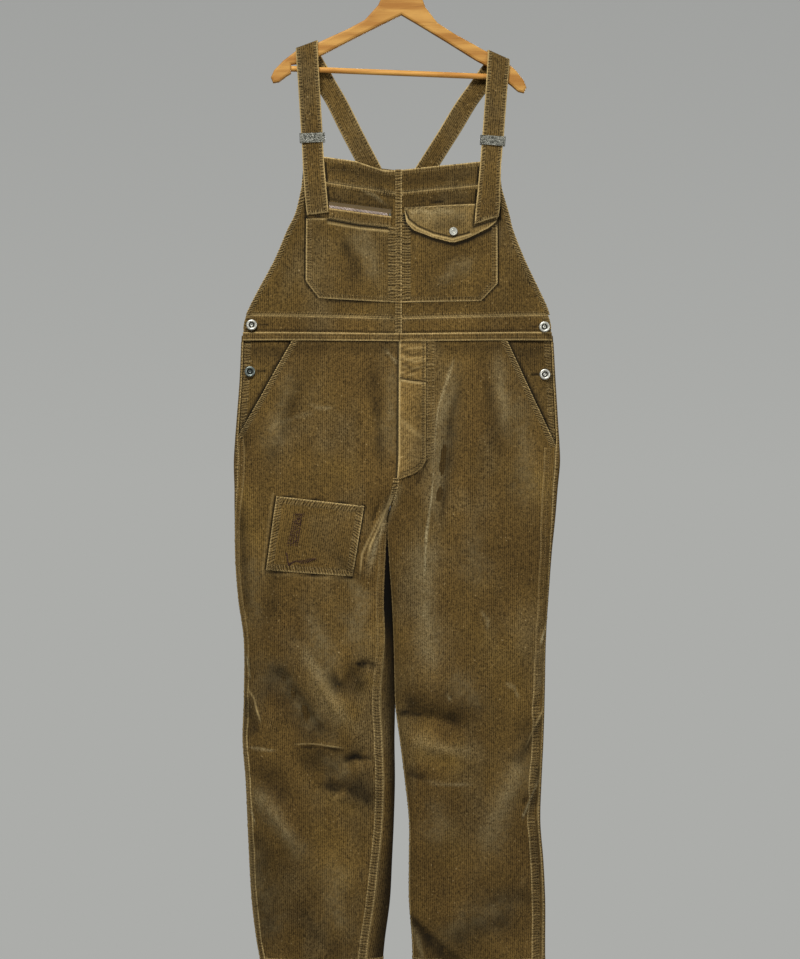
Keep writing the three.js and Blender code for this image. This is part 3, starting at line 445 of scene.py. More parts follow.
# Tones of the cloth, with painted light and shade: kind, face, half width, strength and path
# gold is painted warm light on lit fold ridges, with warm colour patches; dark is painted shade in fold
# troughs and towards the edges;
# sheen is a painted highlight; grey is faded nap and also a painted pale bloom along lit folds;
# wear gives pale worn lines on crease ridges, which also stand in for the ridges' highlight.
TONES = [
    ("sheen", "front", 2.2, 0.55,
     [(88, -683), (77.6, -714.5), (62.7, -761.5), (58, -797), (56, -847)]),
    ("sheen", "front", 2.0, 0.75, [(56, -847), (52, -904), (43, -968), (41, -1005), (39.6, -1061)]),
    ("wear", "front", 1.7, 0.65, [(-2, -886), (-24, -931), (-36, -959), (-49, -988), (-54, -1009)]),
    ("wear", "front", 1.3, 0.45,
     [(-14, -918), (-30, -936), (-44, -962), (-62, -1000), (-66, -1040)]),
    ("sheen", "front", 6.0, 0.5, [(0, -890), (-20, -930), (-40, -985), (-52, -1030)]),
    ("wear", "front", 1.0, 0.5,
     [(-172, -1312), (-152, -1310), (-130, -1312), (-114, -1315), (-89, -1318)]),
    ("sheen", "front", 1.4, 0.7, [(-252, -1166), (-248, -1188), (-246, -1206)]),
    ("wear", "front", 1.3, 0.55, [(-252, -1221), (-239, -1237), (-234, -1259), (-228, -1277)]),
    ("sheen", "front", 1.4, 0.7, [(-247, -1418), (-241, -1432), (-238, -1446)]),
    ("sheen", "front", 1.5, 0.7, [(240, -1118), (234, -1137), (230, -1152)]),
    ("wear", "front", 1.3, 0.5, [(237, -1251), (219.5, -1287), (204, -1320)]),
    ("sheen", "front", 1.6, 0.75, [(229, -1368), (214, -1402), (200, -1436)]),
    ("sheen", "front", 2.2, 0.4, [(-251, -1318), (-228, -1320), (-205, -1322)]),
    ("sheen", "front", 2.4, 0.4, [(-25, -665), (-3, -690)]),
    ("sheen", "front", 2.6, 0.3, [(-150, -757), (-128, -762), (-108, -760)]),
    ("sheen", "front", 3.0, 0.2, [(-206, -790), (-170, -776), (-140, -768)]),
    ("sheen", "front", 2.2, 0.4, [(-64, -403), (-44, -411), (-22, -428)]),
    ("dark", "front", 8, 0.5, [(-42, -396), (-20, -410), (-14, -422)]),
    ("dark", "front", 9, 0.35, [(-60, -366), (-30, -380), (-12, -392)]),
    ("sheen", "front", 12, 0.1, [(158, -671), (163, -726), (170, -782)]),
    ("sheen", "front", 14, 0.26,
     [(-160, -1150), (-136, -1190), (-119, -1230), (-94, -1266), (-72, -1284)], -0.3),
    ("sheen", "front", 9, 0.16, [(-246, -1376), (-226, -1407), (-196, -1440), (-170, -1476)]),
    ("sheen", "front", 8, 0.14, [(-66, -455), (-56, -476), (-46, -500), (-38, -540)]),
    ("sheen", "front", 12, 0.22, [(14, -1300), (60, -1318), (130, -1326)]),
    ("sheen", "front", 16, 0.16, [(206, -1318), (176, -1386), (148, -1440), (137, -1495)]),
    ("sheen", "front", 20, 0.18, [(40, -960), (38, -1060), (40, -1138), (52, -1210)]),
    ("sheen", "front", 14, 0.18, [(84, -716), (64, -780), (58, -860), (46, -950)]),
    ("sheen", "front", 2.6, 0.35, [(172, -1212), (186, -1218), (194, -1236)]),
    ("sheen", "front", 2.4, 0.4, [(132, -1094), (144, -1108), (142, -1124)]),
    ("sheen", "front", 2.2, 0.3, [(38, -1374), (80, -1377), (120, -1379)]),
    ("sheen", "front", 2.0, 0.6, [(76, -1232), (84, -1240)]),
    ("sheen", "front", 6, 0.3, [(18, -1606), (30, -1640), (38, -1672)]),
    # Faded grey nap, and also a painted pale bloom along lit folds.
    ("grey", "front", 15, 0.5, [(-176, -700), (-198, -775), (-213, -846)]),
    ("grey", "front", 15, 0.55, [(92, -690), (74, -780), (66, -870), (52, -960)]),
    ("grey", "front", 20, 0.5, [(42, -970), (42, -1080), (54, -1200)]),
    ("grey", "front", 12, 0.5, [(160, -671), (166, -726), (174, -782), (184, -822)]),
    ("grey", "front", 20, 0.4, [(188, -730), (204, -830), (206, -930)]),
    ("grey", "front", 12, 0.7, [(-84, -1040), (-62, -1072), (-66, -1130)]),
    ("grey", "front", 18, 0.6, [(-78, -1090), (-70, -1150)]),
    ("grey", "front", 18, 0.6, [(-152, -1085), (-140, -1120), (-120, -1180), (-100, -1240)]),
    ("grey", "front", 18, 0.7, [(-229, -1180), (-185, -1215), (-155, -1262), (-118, -1296)]),
    ("grey", "front", 16, 0.6, [(-130, -1330), (-100, -1350), (-80, -1372)]),
    ("grey", "front", 24, 0.5, [(216, -1325), (176, -1400), (137, -1500)]),
    ("grey", "front", 20, 0.5, [(134, -1250), (110, -1230), (80, -1190)]),
    ("grey", "front", 14, 0.5, [(-80, -465), (-58, -508), (-38, -556)]),
    ("grey", "front", 12, 0.5, [(62, -560), (96, -532), (122, -516)]),
    ("grey", "front", 18, 0.4, [(-244, -1000), (-240, -1080), (-236, -1130)]),
    ("grey", "front", 20, 0.35, [(120, -960), (124, -1060)]),
    ("grey", "front", 16, 0.6, [(-246, -1380), (-200, -1440), (-150, -1505)]),
    ("grey", "front", 22, 0.6, [(-244, -1470), (-226, -1560), (-210, -1640)]),
    ("grey", "front", 20, 0.5, [(-110, -1500), (-100, -1620)]),
    ("grey", "front", 20, 0.4, [(60, -1400), (60, -1480)]),
    ("grey", "front", 24, 0.5, [(190, -1570), (120, -1600), (60, -1640)]),
    ("grey", "front", 16, 0.4, [(-12, -680), (-14, -760), (-18, -850)]),
    ("grey", "front", 10, 0.5, [(232, -1150), (228, -1230)]),
    # Gold: painted warm light on lit fold ridges, with warm patches of colour.
    ("gold", "front", 20, 0.5, [(-140, -1200), (-96, -1258), (-66, -1282)], 0.3),
    ("gold", "front", 14, 0.6, [(-76, -1222), (-52, -1210), (-36, -1216)]),
    ("gold", "front", 18, 0.5, [(-258, -880), (-240, -960), (-238, -1000)]),
    ("gold", "front", 16, 0.6, [(222, -860), (240, -925)]),
    ("gold", "front", 26, 0.75, [(16, -1306), (60, -1330), (112, -1342)]),
    ("gold", "front", 20, 0.4, [(-30, -1100), (-34, -1180)]),
    ("gold", "front", 12, 0.5, [(-250, -1370), (-238, -1420)]),
    ("gold", "front", 30, 0.5, [(-150, -1430), (-110, -1480), (-80, -1560)]),
    ("gold", "front", 14, 0.5, [(-130, -1396), (-100, -1408), (-60, -1430)]),
    ("gold", "front", 34, 0.4, [(100, -1100), (170, -1190), (200, -1250)]),
    ("gold", "front", 30, 0.35, [(-140, -870), (-60, -860)]),
    ("gold", "front", 30, 0.35, [(90, -1440), (80, -1520)]),
    # Painted shade in fold troughs and towards the legs' edges.
    ("dark", "front", 20, 0.55,
     [(-232, -1180), (-193, -1206), (-172, -1238), (-150, -1270), (-112, -1302)], -0.45),
    ("dark", "front", 9, 0.5,
     [(-226, -1178), (-186, -1200), (-160, -1240), (-136, -1276), (-104, -1300)], -0.5),
    ("dark", "front", 24, 0.4, [(-190, -1250), (-164, -1280), (-130, -1304)]),
    ("dark", "front", 12, 0.7, [(-114, -1188), (-101, -1214), (-80, -1212), (-58, -1194)], -0.4),
    ("dark", "front", 4, 0.95, [(-76, -1180), (-53, -1177), (-30, -1187)], -0.5),
    ("dark", "front", 9, 0.4, [(-92, -1204), (-76, -1188), (-60, -1182)]),
    ("dark", "front", 20, 0.5, [(-168, -1326), (-136, -1346), (-104, -1366)], 0.4),
    ("dark", "front", 9, 0.75,
     [(-136, -1374), (-108, -1388), (-89, -1382), (-56, -1406), (-44, -1416)], 0.6),
    ("dark", "front", 5, 0.9, [(-98, -1343), (-73, -1333), (-61, -1336), (-41, -1337)], 0.4),
    ("dark", "front", 3.0, 0.6, [(-170, -1316), (-130, -1317), (-90, -1322)]),
    ("dark", "front", 18, 0.45, [(-236, -1338), (-205, -1370), (-180, -1410)]),
    ("dark", "front", 10, 0.65, [(-256, -1238), (-244, -1270), (-234, -1300)], -0.4),
    ("dark", "front", 30, 0.45, [(-246, -1440), (-230, -1520), (-214, -1660)]),
    ("dark", "front", 24, 0.35, [(-180, -1560), (-130, -1640), (-60, -1670)]),
    ("dark", "front", 8, 0.5, [(100, -712), (82, -784), (76, -870), (66, -965)]),
    ("dark", "front", 16, 0.3, [(38, -700), (36, -800), (28, -900)]),
    ("dark", "front", 5, 0.9, [(-6, -1264), (16, -1262), (40, -1266)], 0.4),
    ("dark", "front", 16, 0.6, [(-4, -1258), (33, -1256), (78, -1270), (120, -1278)], 0.5),
    ("dark", "front", 30, 0.3, [(20, -1226), (90, -1250), (150, -1260)]),
    ("dark", "front", 6, 0.6, [(8, -1360), (24, -1366), (44, -1370)], 0.4),
    ("dark", "front", 9, 0.85, [(14, -1590), (40, -1620), (78, -1655), (110, -1668)], -0.5),
    ("dark", "front", 24, 0.45, [(60, -1640), (130, -1610), (210, -1590)]),
    ("dark", "front", 18, 0.35, [(130, -1572), (180, -1564), (228, -1568)]),
    ("dark", "front", 14, 0.35, [(-158, -700), (-190, -800), (-226, -870)]),
    ("dark", "front", 14, 0.35, [(140, -700), (154, -790), (168, -850)]),
    ("dark", "front", 10, 0.45, [(-46, -690), (-38, -760), (-30, -860)]),
    ("dark", "front", 12, 0.45, [(-98, -480), (-78, -520), (-70, -560)]),
    ("dark", "front", 12, 0.5, [(232, -1264), (208, -1316), (192, -1350)], -0.4),
    ("dark", "front", 9, 0.45, [(228, -1340), (222, -1390), (206, -1424)]),
    ("dark", "front", 16, 0.4, [(230, -1440), (228, -1560)]),
    ("dark", "front", 12, 0.3, [(-204, -1010), (-214, -1120)]),
    ("dark", "front", 6, 0.35, [(-108, -1000), (-60, -1040)]),
    ("dark", "front", 16, 0.3, [(-250, -760), (-262, -840)]),
    ("dark", "front", 7, 0.4, [(236, -960), (238, -1050), (232, -1120)]),
    ("dark", "front", 7, 0.4, [(-262, -900), (-256, -1000), (-250, -1110)]),
    # Pale lines along the legs' silhouettes: painted rim highlights.
    ("wear", "front", 1.2, 0.4,
     [(-268, -820), (-271, -880), (-268, -960), (-265, -1040), (-256, -1120)]),
    ("wear", "front", 1.2, 0.35, [(252, -850), (248, -960), (243, -1060), (238, -1130)]),
    ("wear", "front", 1.2, 0.35,
     [(-255, -1300), (-250, -1380), (-247, -1470), (-241, -1560), (-232, -1660)]),
    ("sheen", "back", 8, 0.3, [(-120, -700), (-110, -800), (-60, -900)]),
    ("sheen", "back", 8, 0.3, [(110, -700), (100, -800), (50, -900)]),
    ("sheen", "back", 9, 0.3, [(-236, -920), (-160, -960), (-60, -985)]),
    ("sheen", "back", 9, 0.3, [(226, -930), (150, -966), (50, -990)]),
    ("sheen", "back", 9, 0.3, [(-226, -1232), (-160, -1262), (-60, -1290)]),
    ("sheen", "back", 9, 0.3, [(40, -1300), (120, -1272), (206, -1244)]),
    ("grey", "back", 60, 0.5, [(-130, -760), (-120, -860)]),
    ("grey", "back", 60, 0.5, [(120, -760), (112, -860)]),
    ("grey", "back", 26, 0.45, [(-180, -1400), (-130, -1500)]),
    ("grey", "back", 26, 0.4, [(120, -1400), (150, -1500)]),
    ("gold", "back", 30, 0.4, [(-150, -1030), (-130, -1130)]),
    ("gold", "back", 30, 0.4, [(140, -1030), (120, -1130)]),
    ("dark", "back", 14, 0.6, [(-48, -905), (-165, -985)]),
    ("dark", "back", 14, 0.6, [(30, -912), (150, -978)]),
    ("dark", "back", 14, 0.6, [(-215, -1215), (-95, -1262)]),
    ("dark", "back", 14, 0.6, [(60, -1240), (190, -1206)]),
    ("dark", "back", 12, 0.4, [(-66, -690), (-60, -800), (-28, -890)]),
    ("dark", "back", 12, 0.4, [(60, -690), (54, -800), (22, -890)]),
]
TONE_KINDS = ("wear", "sheen", "grey", "gold", "dark")


def side_line(rows, column, out_x=0.0, out_z=0.0):
    """The line through one end of each row of a piece, moved out a little."""
    return [(row[column][0] + out_x, row[column][1] + out_z) for row in rows]


def tab_line(side, edge, out):
    """The line along one long edge of a strap's front end."""
    rows = TAB_ROWS[side]
    return [(x + out, z) for x, z in zip(rows[edge + "X"], rows[edge + "Z"])]


POCKET_EDGE = {
    "right": side_line(POCKET_ROWS["right"], 0, -1.6, -0.8) + [(-1, -591)],
    "left": side_line(POCKET_ROWS["left"], 0, 1.6, -0.8) + [(0, -591)],
}
FLAP_EDGE = side_line(FLAP_ROWS, 1, -1.5, -2.2) + side_line(FLAP_ROWS[::-1], 0, 0.5, -3.4)

# Painted shadows beside pieces lying on top, painted shade in folds, and painted highlights and pale wear
# lines of single pieces: node, kind, half width, strength and path
LOCAL_TONES = [
    ("bib_right", "dark", 1.7, 0.95, POCKET_EDGE["right"]),
    ("bib_left", "dark", 1.7, 0.95, POCKET_EDGE["left"]),
    ("bib_right", "dark", 2.4, 0.75, [(-118, -418), (-60, -425), (-14, -432)]),
    ("bib_left", "dark", 2.0, 0.95,
     [(164, -421), (120, -421), (90, -424), (60, -423), (40, -428), (6, -430)]),
    ("bib_right", "dark", 2.6, 0.95, [(-156, -449), (-115, -444)]),
    ("bib_left", "dark", 2.6, 0.95, [(163, -430), (165, -452)]),
    ("bib_right", "dark", 2.2, 0.9, tab_line("right", "outer", -1.8)),
    ("bib_right", "dark", 2.6, 0.95, tab_line("right", "inner", 2.0)),
    ("bib_left", "dark", 2.6, 0.95, tab_line("left", "outer", 2.0)),
    ("bib_left", "dark", 2.6, 0.95, tab_line("left", "inner", -2.0)),
    ("bib_band_right", "dark", 2.2, 0.9, tab_line("right", "outer", -1.8)),
    ("bib_band_right", "dark", 2.6, 0.95, tab_line("right", "inner", 2.0)),
    ("bib_band_left", "dark", 2.6, 0.95, tab_line("left", "outer", 2.0)),
    ("bib_band_left", "dark", 2.6, 0.95, tab_line("left", "inner", -2.0)),
    ("bib_band_right", "dark", 0.9, 0.75, [(-119, -369), (-69, -370), (-69, -388), (-119, -386)]),
    ("bib_band_right", "dark", 1.3, 0.8, [(-117, -391), (-60, -398), (-12, -406)]),
    ("bib_band_left", "dark", 1.3, 0.8, [(6, -405), (60, -399), (126, -393)]),
    ("bib_right", "dark", 1.4, 0.85, [(-117, -398), (-60, -405), (-10, -413)]),
    ("bib_left", "dark", 1.4, 0.85, [(6, -412), (60, -406), (128, -399)]),
    ("bib_right", "dark", 10, 0.4, [(-110, -412), (-60, -416), (-20, -424)]),
    ("bib_left", "dark", 9, 0.4, [(8, -421), (70, -416), (124, -412)]),
    ("bib_band_right", "dark", 13, 0.45, [(-110, -366), (-60, -374), (-14, -386)]),
    ("bib_band_left", "dark", 13, 0.36, [(14, -386), (60, -380), (124, -374)]),
    ("chest_pocket_right", "dark", 2.8, 1.0, [(-118, -452), (-68, -461), (-20, -466)]),
    ("chest_pocket_right", "wear", 1.6, 0.5, [(-118, -457), (-68, -466), (-20, -471)]),
    ("chest_pocket_right", "dark", 2.6, 0.9, [(-156, -448), (-116, -444)]),
    ("chest_pocket_left", "dark", 3.6, 1.0, FLAP_EDGE),
    ("pocket_flap", "dark", 2.6, 0.95, [(162, -451), (121, -464)]),
    ("pocket_flap", "dark", 2.2, 0.9, [(124, -424), (120, -462)]),
    ("pocket_flap", "dark", 1.5, 1.0,
     [(9, -437), (15, -451), (29, -462.5), (56, -474), (86, -481), (114, -473)]),
    ("pocket_flap", "wear", 1.3, 0.6,
     [(8, -441), (13, -454), (28, -466), (56, -478), (86, -485), (116, -476)]),
    ("pocket_flap", "dark", 1.3, 0.9, [(8, -433), (40, -430), (70, -428), (120, -425)]),
    ("pocket_flap", "sheen", 4.5, 0.35,
     [(20, -440), (34, -437), (50, -441), (66, -437), (84, -440)]),
    ("pocket_flap", "grey", 12, 0.5, [(14, -446), (50, -448), (100, -444)]),
    ("pocket_flap", "dark", 9, 0.35, [(96, -458), (60, -464)]),
    ("leg_front_right", "dark", 1.9, 1.0, [(-3, -646), (-3.6, -700), (-4.6, -846), (-6.6, -880)]),
    ("leg_front_left", "dark", 1.6, 0.9, side_line(FLY_ROWS, 0, 1.4, -1.2)),
    ("fly_placket", "dark", 1.7, 1.0, [(-1, -712.5), (18, -716), (44, -718.5)]),
    ("fly_placket", "wear", 1.5, 0.7, [(0, -716), (20, -719.5), (43, -722)]),
    ("fly_placket", "dark", 3.2, 0.5, [(2, -668), (20, -676), (40, -672)]),
    ("fly_placket", "dark", 2.6, 0.5, [(4, -690), (22, -698), (42, -694)]),
    ("fly_placket", "wear", 2.0, 0.3, [(4, -680), (24, -686), (42, -682)]),
    ("fly_placket", "dark", 3.0, 0.45, [(24, -778), (42, -770)]),
    ("fly_placket", "wear", 4.0, 0.22, [(4, -784), (22, -800), (40, -812)]),
    ("fly_placket", "dark", 2.6, 0.5, [(14, -838), (38, -846)]),
    ("fly_placket", "dark", 1.1, 0.85, [(38, -650), (38, -842), (31, -854), (18, -862), (2, -868)]),
    ("leg_front_right", "dark", 1.7, 0.95,
     [(-203.7, -905), (-220.7, -1028), (-78, -1039), (-57, -921), (-203.7, -905)]),
    ("leg_front_right", "wear", 2.4, 0.1, [(-208, -902), (-225.5, -1031), (-76, -1043)]),
    ("leg_front_right", "dark", 1.4, 0.9, [(-173, -650), (-264, -806)]),
    ("leg_front_right", "dark", 2.4, 0.85, [(-200, -651.5), (-120, -652.6), (-1, -654)]),
    ("leg_front_left", "dark", 2.4, 0.85, [(200, -651.5), (120, -652.6), (40, -654)]),
    ("leg_front_right", "dark", 10, 0.35, [(-190, -662), (-100, -662), (-10, -664)]),
    ("leg_front_left", "dark", 10, 0.3, [(190, -662), (120, -662), (50, -664)]),
    ("hip_stay_right", "dark", 2.4, 0.85, [(-262, -650.5), (-172, -651.8)]),
    ("hip_stay_left", "dark", 2.4, 0.85, [(256, -650.5), (172, -651.8)]),
    ("hip_stay_right", "dark", 12, 0.4, [(-238, -668), (-200, -672)]),
    ("hip_stay_left", "dark", 12, 0.4, [(232, -668), (196, -672)]),
    ("fly_placket", "dark", 2.0, 0.85, [(0, -654.5), (43, -653.6)]),
    ("waistband_front_right", "dark", 1.6, 0.7, [(-256, -633), (-120, -635), (-1, -637.5)]),
    ("waistband_front_left", "dark", 1.6, 0.7, [(250, -633), (120, -635), (1, -637.5)]),
    ("hip_stay_right", "dark", 5.0, 1.0, [(-176, -650), (-267, -807)]),
    ("hip_stay_left", "dark", 5.0, 1.0, [(175, -650), (257, -822)]),
    ("waistband_front_right", "dark", 1.3, 0.9, [(-231, -625), (-217, -624)]),
    ("waistband_front_left", "dark", 1.3, 0.9, [(224, -628), (212, -627)]),
    ("hip_stay_right", "dark", 1.5, 0.9, [(-234, -701), (-222, -701)]),
    ("hip_stay_left", "dark", 1.5, 0.9, [(228, -706), (216, -706)]),
    ("pocket_zip_tape", "dark", 2.4, 0.9, [(-117, -421), (-14, -434)]),
]


def local_tones(node, tones, x, z):
    """Adds the painted shadows, painted shade, painted highlights and wear of a single piece."""
    for where, kind, width, strength, path in LOCAL_TONES:
        if where == node:
            chosen, nearest, share = near_fold(path, 3 * width, x, z)
            soft = strength * np.exp(-((nearest / width) ** 2))
            tones[kind][chosen] = np.maximum(tones[kind][chosen], soft)


def tones_at(face, x, z):
    """The painted highlights, painted shade and wear tones of one face, each from 0 to 1."""
    tones = {kind: np.zeros(np.shape(x)) for kind in TONE_KINDS}
    for number, (kind, where, width, strength, path, *lean) in enumerate(TONES):
        if where == face:
            chosen, nearest, share = near_fold(path, 3 * width, x, z, *lean)
            ends = smooth(np.minimum(share, 1 - share) / 0.2) * 0.75 + 0.25
            ragged = 1 + 0.22 * np.sin(x[chosen] / 7 + number) * np.sin(z[chosen] / 9 + 2 * number)
            wide = width * (1 + 0.3 * np.sin(8 * share + 3 * number))
            soft = strength * ends * ragged * np.exp(-((nearest / wide) ** 2))
            tones[kind][chosen] = np.maximum(tones[kind][chosen], soft)
    return {kind: np.clip(values, 0, 1) for kind, values in tones.items()}


def ring_x(side, turn, z):
    turn = np.mod(turn, 2.0)
    share = np.where(turn > 1, 2 - turn, turn)
    across = (1 - np.cos(np.pi * share)) / 2
    outer, inner = edges_at(side, z)
    return mix(outer, inner, across)


def ring_point(side, turn, z):
    """Turn 0 to 1 runs over the front from the outer to the inner line, and 1 to 2 back behind."""
    turn, z = np.broadcast_arrays(np.mod(turn, 2.0), np.asarray(z, float))
    behind = turn > 1
    share = np.where(behind, 2 - turn, turn)
    across = (1 - np.cos(np.pi * share)) / 2
    outer, inner = edges_at(side, z)
    x = mix(outer, inner, across)
    trunk = (1 - (1 - across) ** SECTION_POWER) ** (1 / SECTION_POWER)
    leg = np.maximum(0, 1 - np.abs(2 * across - 1) ** SECTION_POWER) ** (1 / SECTION_POWER)
    leg_share = smooth((CROTCH + CROTCH_RISE - z) / CROTCH_RISE) ** 2
    edge = np.minimum(across, 1 - across) * np.abs(inner - outer)
    bulge = mix(trunk, leg, leg_share)
    y = np.zeros(x.shape)
    for face, chosen, sign in (("front", ~behind, -1), ("back", behind, 1)):
        if chosen.any():
            depth = size_at(DEPTHS, face, z[chosen])
            folds = fold_height(face, x[chosen], z[chosen], edge[chosen])
            y[chosen] = sign * (depth * bulge[chosen] + folds)
    return np.stack([x, y, z], axis=-1)


def turn_at(side, x, z):
    outer, inner = edges_at(side, z)
    across = np.clip((x - outer) / (inner - outer), 0, 1)
    return np.arccos(1 - 2 * across) / np.pi


def turn_at_inset(side, z, inset):
    outer, inner = edges_at(side, z)
    return turn_at(side, outer + np.sign(inner - outer) * inset, z)


def front_point(side, x, z):
    return ring_point(side, turn_at(side, x, z), z)


def split_point(behind, x, z):
    """A point of the front or back whose side follows from its x."""
    x, z = np.broadcast_arrays(np.asarray(x, float), np.asarray(z, float))
    on_right = x < edges_at("right", z)[1]
    points = np.zeros(x.shape + (3,))
    for side, chosen in (("right", on_right), ("left", ~on_right)):
        turn = np.minimum(turn_at(side, x[chosen], z[chosen]), 1 - 1e-9)
        points[chosen] = ring_point(side, 2 - turn if behind else turn, z[chosen])
    return points


# Places of the pieces: each takes v down the rows and u along them, both from 0 to 1
def leg_height(v):
    return mix(WAIST_OUTER - WAIST_DROP, HEM, v)


def raised_to_waist(side, turn, z):
    outer, inner = edges_at(side, z)
    from_middle = 1 - (ring_x(side, turn, z) - outer) / (inner - outer)
    fade = smooth((z - WAIST_DROP_END) / (WAIST_OUTER - WAIST_DROP - WAIST_DROP_END))
    return ring_point(side, turn, z + WAIST_DROP * from_middle * fade)


def slant_inset(side, z):
    mouth = POCKET_MOUTH[side]
    x = mix(mouth["topX"], mouth["endX"], (mouth["topZ"] - z) / (mouth["topZ"] - mouth["endZ"]))
    return np.maximum(0, np.abs(edges_at(side, z)[0]) - np.abs(x))


def outer_seam_turn(side, z):
    return turn_at_inset(side, z, size_at(SEAMS, side + "Outer", z))


def inner_seam_turn(side, z):
    outer, inner = edges_at(side, z)
    inset = np.maximum(0, size_at(SEAMS, side + "Inner", z))
    return turn_at(side, inner - np.sign(inner - outer) * inset, z)


def leg_front(side):
    def place(v, u):
        z = leg_height(v)
        edge = np.maximum(slant_inset(side, z), size_at(SEAMS, side + "Outer", z))
        turn = mix(turn_at_inset(side, z, edge), inner_seam_turn(side, z), u)
        return raised_to_waist(side, turn, z)
    return place


BEHIND_MIDDLE = 1 + 1e-9


def leg_back(side):
    def place(v, u):
        z = leg_height(v)
        start = inner_seam_turn(side, z)
        start = np.where(start < 1, start, BEHIND_MIDDLE)
        return raised_to_waist(side, mix(start, 2 + outer_seam_turn(side, z), u), z)
    return place


def hip_stay(side):
    end_z = POCKET_MOUTH[side]["endZ"] - 6

    def place(v, u):
        z = mix(WAIST_OUTER - WAIST_DROP, end_z, v)
        end = turn_at_inset(side, z, slant_inset(side, z) + STAY_UNDERLAP)
        return raised_to_waist(side, mix(outer_seam_turn(side, z), end, u), z)
    return place


def belt_height(v, across):
    return mix(BELT_OUTER - BELT_DROP * across, WAIST_OUTER - WAIST_DROP * across, v)


def band_end_turn(side, v):
    """The waistband's end, drawn in at its top to meet the edge of the bib."""
    corner = BAND_CORNER * np.clip(1 - v / 0.6, 0, 1) ** 1.5
    inset = size_at(SEAMS, side + "Outer", WAIST_OUTER) + corner
    return turn_at_inset(side, WAIST_OUTER + 0 * v, inset)


def waistband_front(side):
    def place(v, u):
        turn = mix(band_end_turn(side, v), 1, u)
        across = (1 - np.cos(np.pi * turn)) / 2
        return ring_point(side, turn, belt_height(v, across))
    return place


def waistband_back(v, u):
    v, u = np.broadcast_arrays(v, u)
    points = np.zeros(u.shape + (3,))
    for side, chosen in (("right", u < 0.5), ("left", u >= 0.5)):
        reach = np.abs(2 * u[chosen] - 1)
        turn = mix(BEHIND_MIDDLE, 2 - band_end_turn(side, v[chosen]), reach)
        across = (1 - np.cos(np.pi * turn)) / 2
        points[chosen] = ring_point(side, turn, belt_height(v[chosen], across))
    return points


def back_yoke(v, u):
    z = mix(YOKE["z"][0], BELT_OUTER, v)
    share = 2 * u - 1
    x = YOKE_CENTRE + size_at(YOKE, "half", z) * share
    return split_point(True, x, z - BELT_DROP * (1 - np.abs(share)) * v**3)


def bib_panel(side):
    seam = BAND_SEAM[side]

    def place(v, u):
        z = mix(seam["outerZ"], BELT_OUTER, v)
        x = mix(size_at(BIB, side, z), edges_at(side, z)[1], u)
        return front_point(side, x, z - mix(seam["drop"], BELT_DROP, v) * u)
    return place


def along_row(corners, share):
    """x and z at shares of a row that is given by its corners."""
    xs = np.array([corner[0] for corner in corners], float)
    zs = np.array([corner[1] for corner in corners], float)
    x = mix(xs[0], xs[-1], share)
    order = np.argsort(xs)
    return x, np.interp(x, xs[order], zs[order])


def bib_band(side):
    seam = BAND_SEAM[side]
    lower_outer = size_at(BIB, side, seam["outerZ"])
    lower_inner = edges_at(side, seam["outerZ"])[1]

    def place(v, u):
        upper_x, upper_z = along_row(BAND_TOP[side], u)
        lower_x = mix(lower_outer, lower_inner, u)
        lower_z = seam["outerZ"] - seam["drop"] * u
        return front_point(side, mix(upper_x, lower_x, v), mix(upper_z, lower_z, v))
    return place


def on_front(side, rows):
    """The place of a piece whose rows are given from top to bottom."""
    levels = np.array([np.mean([z for x, z in row]) for row in rows])
    shares = (levels[0] - levels) / (levels[0] - levels[-1])

    def place(v, u):
        v, u = np.broadcast_arrays(v, u)
        position = np.interp(np.clip(v, 0, 1), shares, np.arange(len(rows)))
        x = np.zeros(u.shape)
        z = np.zeros(u.shape)
        band = np.minimum(position.astype(int), len(rows) - 2)
        for k in range(len(rows) - 1):
            chosen = band == k
            upper_x, upper_z = along_row(rows[k], u[chosen])
            lower_x, lower_z = along_row(rows[k + 1], u[chosen])
            x[chosen] = mix(upper_x, lower_x, position[chosen] - k)
            z[chosen] = mix(upper_z, lower_z, position[chosen] - k)
        return front_point(side, x, z)
    return place


def edge_band(place, edge, width, start=0.0, end=1.0):
    """A band of a place along one of its edges, with that edge on the same side of the band."""
    upright = edge in ("left", "right")
    lines = np.linspace(start, end, 161)[:, None]
    across = np.linspace(0, 1, 201)
    grid = place(lines, across[None, :]) if upright else place(across[None, :], lines)
    gaps = np.linalg.norm(np.diff(grid, axis=1), axis=-1)
    arc = np.concatenate([np.zeros((len(lines), 1)), np.cumsum(gaps, axis=1)], axis=1)
    wanted = width * np.linspace(0, 1, 9)
    if edge in ("left", "top"):
        share = np.array([np.interp(wanted, line, across) for line in arc])
    else:
        share = np.array([np.interp(line[-1] - wanted[::-1], line, across) for line in arc])

    def banded(v, u):
        v, u = np.broadcast_arrays(np.clip(v, 0, 1), np.clip(u, 0, 1))
        walk, reach = (v, u) if upright else (u, v)
        i = np.minimum((walk * 160).astype(int), 159)
        j = np.minimum((reach * 8).astype(int), 7)
        di = walk * 160 - i
        dj = reach * 8 - j
        over = mix(share[i, j], share[i, j + 1], dj)
        beneath = mix(share[i + 1, j], share[i + 1, j + 1], dj)
        at = mix(over, beneath, di)
        along = mix(start, end, walk)
        return place(along, at) if upright else place(at, along)
    return banded


def middle_band(behind, top, bottom, left, right):
    """A band that follows the middle line of the garment, across both sides."""
    def place(v, u):
        z = mix(top, bottom, v)
        middle = size_at(TROUSERS, "middle", np.minimum(z, WAIST_OUTER))
        return split_point(behind, middle + mix(left, right, u), z)
    return place


def strap_tab(side):
    rows = TAB_ROWS[side]
    shares = np.linspace(0, 1, len(rows["lift"]))

    def place(v, u):
        x = mix(np.interp(v, shares, rows["outerX"]), np.interp(v, shares, rows["innerX"]), u)
        z = mix(np.interp(v, shares, rows["outerZ"]), np.interp(v, shares, rows["innerZ"]), u)
        return front_point(side, x, z)
    return place


